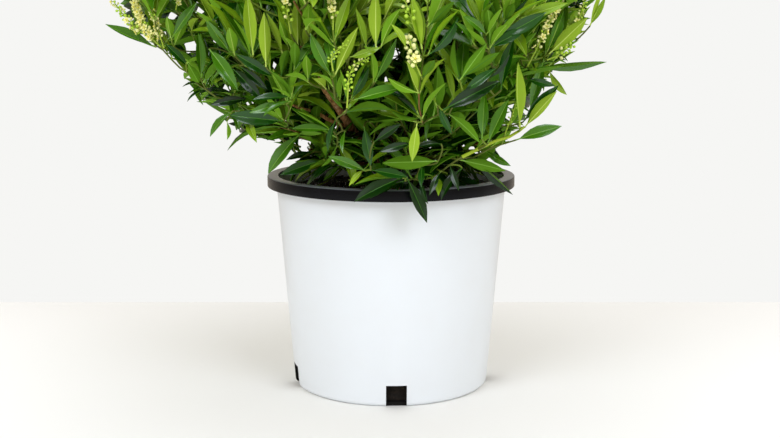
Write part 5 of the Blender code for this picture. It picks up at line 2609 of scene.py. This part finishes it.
    def build(self) -> None:
        """Makes the leaves, the twigs and the flowers of every mass."""
        blades = shape_collection("leaf_shapes", [s.mesh(f"leaf_{i}") for i, s in enumerate(LEAF_SHAPES)])
        heads = shape_collection("flower_shapes", [bud_mesh("bud"), bloom_mesh("bloom")])
        greens = {(tone.value, part.value): GREENS[tone].finish(tone, part) for tone in Tone for part in Part}
        petals = {(0, 0): BUD_GREEN, (1, 0): BUD_CREAM, (2, 0): PETAL, (2, 1): STAMEN}
        barks = (YOUNG_BARK, GREEN_BARK, GREEN_STEM, FLOWER_STALK, SAPPY_STEM)
        leaf_tree = sprig_tree("laurel_leaves", blades, greens)
        twig_tree = rod_tree("laurel_twigs", {(age.value,): bark for age, bark in zip(Age, barks)})
        flower_tree = sprig_tree("laurel_flowers", heads, petals)
        sides = {"Sides": self.twig_sides}
        for mass in self.masses:
            leaves = grown(sprig_points(f"{mass.name}_leaves", self.leaves[mass.name]), leaf_tree, {})
            finished(leaves, [mass.name])
            twigs = grown(rod_lines(f"{mass.name}_twigs", self.twigs[mass.name]), twig_tree, sides)
            twigs.data.shade_smooth()
            finished(twigs)
            if self.flowers[mass.name]:
                flowers = sprig_points(f"{mass.name}_flowers", self.flowers[mass.name])
                finished(grown(flowers, flower_tree, {}))
        for group in (blades, heads):
            for obj in list(group.objects):
                bpy.data.objects.remove(obj, do_unlink=True)
            bpy.data.collections.remove(group)


def bud_mesh(name: str) -> Mesh:
    """Builds a round flower bud one unit across, drawn out a little along +Z.

    Args:
        name: The mesh's name.

    Returns:
        The mesh.
    """
    bm = bmesh.new()
    bmesh.ops.create_uvsphere(bm, u_segments=8, v_segments=6, radius=0.5)
    for vert in bm.verts:
        vert.co.z = vert.co.z * 1.1 + 0.45
    mesh = mesh_of(name, bm)
    mesh.shade_smooth()
    return marked(mesh, [0] * len(mesh.polygons))


def bloom_mesh(name: str) -> Mesh:
    """Builds an open flower one unit across that faces +Z: five cupped petals round stamens.

    Args:
        name: The mesh's name.

    Returns:
        The mesh.
    """
    petal_spots = ((0.04, 0.0, 0.0), (0.30, -0.19, 0.10), (0.50, 0.0, 0.20), (0.30, 0.19, 0.10))
    points: list[Vector] = []
    faces: Faces = []
    parts: list[int] = []
    for petal in range(5):
        turn = Matrix.Rotation(math.tau * petal / 5, 3, "Z")
        first = len(points)
        points += [turn @ Vector(spot) for spot in (*petal_spots, (0.28, 0.0, 0.01))]
        faces.append((first, first + 1, first + 2, first + 3))
        faces += [(first + (k + 1) % 4, first + k, first + 4) for k in range(4)]
        parts += [0] * 5
    first = len(points)
    stamen_spots = ((1, 0, 0), (0, 1, 0), (-1, 0, 0), (0, -1, 0), (0, 0, 1.2), (0, 0, -1.2))
    points += [Vector(spot) * 0.12 + Vector((0.0, 0.0, 0.14)) for spot in stamen_spots]
    for k in range(4):
        after = first + (k + 1) % 4
        faces += [(first + k, after, first + 4), (after, first + k, first + 5)]
        parts += [1, 1]
    return marked(mesh_from(name, points, faces), parts)


def shape_collection(name: str, meshes: Sequence[Mesh]) -> Collection:
    """Makes a collection from which a tree picks its shapes.

    Args:
        name: The collection's name.
        meshes: The shapes.

    Returns:
        The collection, with an object for each shape.
    """
    group = bpy.data.collections.new(name)
    for index, mesh in enumerate(meshes):
        group.objects.link(bpy.data.objects.new(f"{name}_{index:02d}", mesh))
    return group


def held_points(name: str, points: list[tuple], edges: list[tuple], held: dict[str, tuple]) -> Object:
    """Makes an object of points and edges that holds values at its points.

    Args:
        name: The object's name.
        points: Its points.
        edges: Its edges, each by its points' numbers.
        held: The type and the values of each attribute, by its name.

    Returns:
        The object.
    """
    mesh = bpy.data.meshes.new(name)
    mesh.from_pydata(points, edges, [])
    for mark, (kind, values) in held.items():
        key = "vector" if kind == "FLOAT_VECTOR" else "value"
        mesh.attributes.new(mark, kind, "POINT").data.foreach_set(key, values)
    return mesh_object(name, mesh)


def sprig_points(name: str, sprigs: Sequence[Sprig]) -> Object:
    """Makes a point for each sprig, which holds its turn, size, shape and tone.

    Args:
        name: The object's name.
        sprigs: The sprigs.

    Returns:
        The object.
    """
    held = {
        "turn": ("FLOAT_VECTOR", [value for sprig in sprigs for value in sprig.matrix().to_euler()]),
        "size": ("FLOAT", [sprig.size for sprig in sprigs]),
        "shape": ("INT", [sprig.shape for sprig in sprigs]),
        "tone": ("INT", [sprig.tone for sprig in sprigs]),
    }
    return held_points(name, [tuple(sprig.foot) for sprig in sprigs], [], held)


def rod_lines(name: str, twigs: Sequence[Twig]) -> Object:
    """Makes a line for each twig, whose points hold its thickness and age.

    Args:
        name: The object's name.
        twigs: The twigs.

    Returns:
        The object.
    """
    points: list[tuple] = []
    edges: list[tuple] = []
    for twig in twigs:
        edges += [(k, k + 1) for k in range(len(points), len(points) + len(twig.limb.points) - 1)]
        points += [tuple(point) for point in twig.limb.points]
    thick = [radius for twig in twigs for radius in twig.limb.radii]
    ages = [twig.age.value for twig in twigs for _ in twig.limb.points]
    return held_points(name, points, edges, {"thick": ("FLOAT", thick), "age": ("INT", ages)})


def sprig_tree(name: str, shapes: Collection, finishes: Finishes) -> NodeTree:
    """Builds the tree that sets a shape on each point.

    Args:
        name: The tree's name.
        shapes: The shapes, picked by the points' shape number.
        finishes: The finish for each tone and part.

    Returns:
        The tree, with the input Growth, which scales every shape.
    """
    tree = tree_with_inputs(name, {"Growth": ("NodeSocketFloat", 1.0)})
    given = add_node(tree, "NodeGroupInput").outputs
    turn, own_size, shape = (
        add_node(tree, "GeometryNodeInputNamedAttribute", {"Name": mark}, data_type=kind).outputs[0]
        for mark, kind in (("turn", "FLOAT_VECTOR"), ("size", "FLOAT"), ("shape", "INT"))
    )
    size = add_node(tree, "ShaderNodeMath", {0: own_size, 1: given["Growth"]}, operation="MULTIPLY")
    picked = add_node(
        tree, "GeometryNodeCollectionInfo",
        {"Collection": shapes, "Separate Children": True, "Reset Children": True},
    )
    turned = add_node(tree, "FunctionNodeEulerToRotation", {0: turn})
    placed = add_node(
        tree, "GeometryNodeInstanceOnPoints",
        {
            "Points": given["Geometry"], "Instance": picked.outputs[0], "Pick Instance": True,
            "Instance Index": shape, "Rotation": turned.outputs[0], "Scale": size.outputs[0],
        },
    )
    end_tree(tree, placed.outputs[0], finishes, ["tone", "part"])
    return tree


def rod_tree(name: str, finishes: Finishes) -> NodeTree:
    """Builds the tree that turns lines into closed tapering rods.

    Args:
        name: The tree's name.
        finishes: The finish for each age.

    Returns:
        The tree, with the input Sides.
    """
    tree = tree_with_inputs(name, {"Sides": ("NodeSocketInt", 6)})
    given = add_node(tree, "NodeGroupInput").outputs
    line = add_node(tree, "GeometryNodeMeshToCurve", {"Mesh": given["Geometry"]})
    ring = add_node(tree, "GeometryNodeCurvePrimitiveCircle", {"Resolution": given["Sides"], "Radius": 1.0})
    thick = add_node(tree, "GeometryNodeInputNamedAttribute", {"Name": "thick"}, data_type="FLOAT")
    rods = add_node(
        tree, "GeometryNodeCurveToMesh",
        {
            "Curve": line.outputs[0], "Profile Curve": ring.outputs[0], "Scale": thick.outputs[0],
            "Fill Caps": True,
        },
    )
    end_tree(tree, rods.outputs[0], finishes, ["age"])
    return tree


def main() -> None:
    """Builds the plant in its pot, and the studio round it."""
    logging.basicConfig(level=logging.INFO, format="%(message)s")
    view = Viewpoint()
    view.build()
    Studio().build()
    pot = NurseryPot()
    pot.build()
    PottingMix(pot).build()
    crown = CrownOutline()
    skeleton = Skeleton(crown)
    boughs, masses = skeleton.plan()
    Wood(skeleton).build(boughs, {old.name: old.limb(view) for old in OLD_STEMS})
    wood = [skeleton.trunk(skeleton.trunk_rings), *boughs.values()]
    foliage = Foliage(Habit(crown, pot), view, masses, wood)
    foliage.grow()
    foliage.build()


if __name__ == "__main__":
    main()
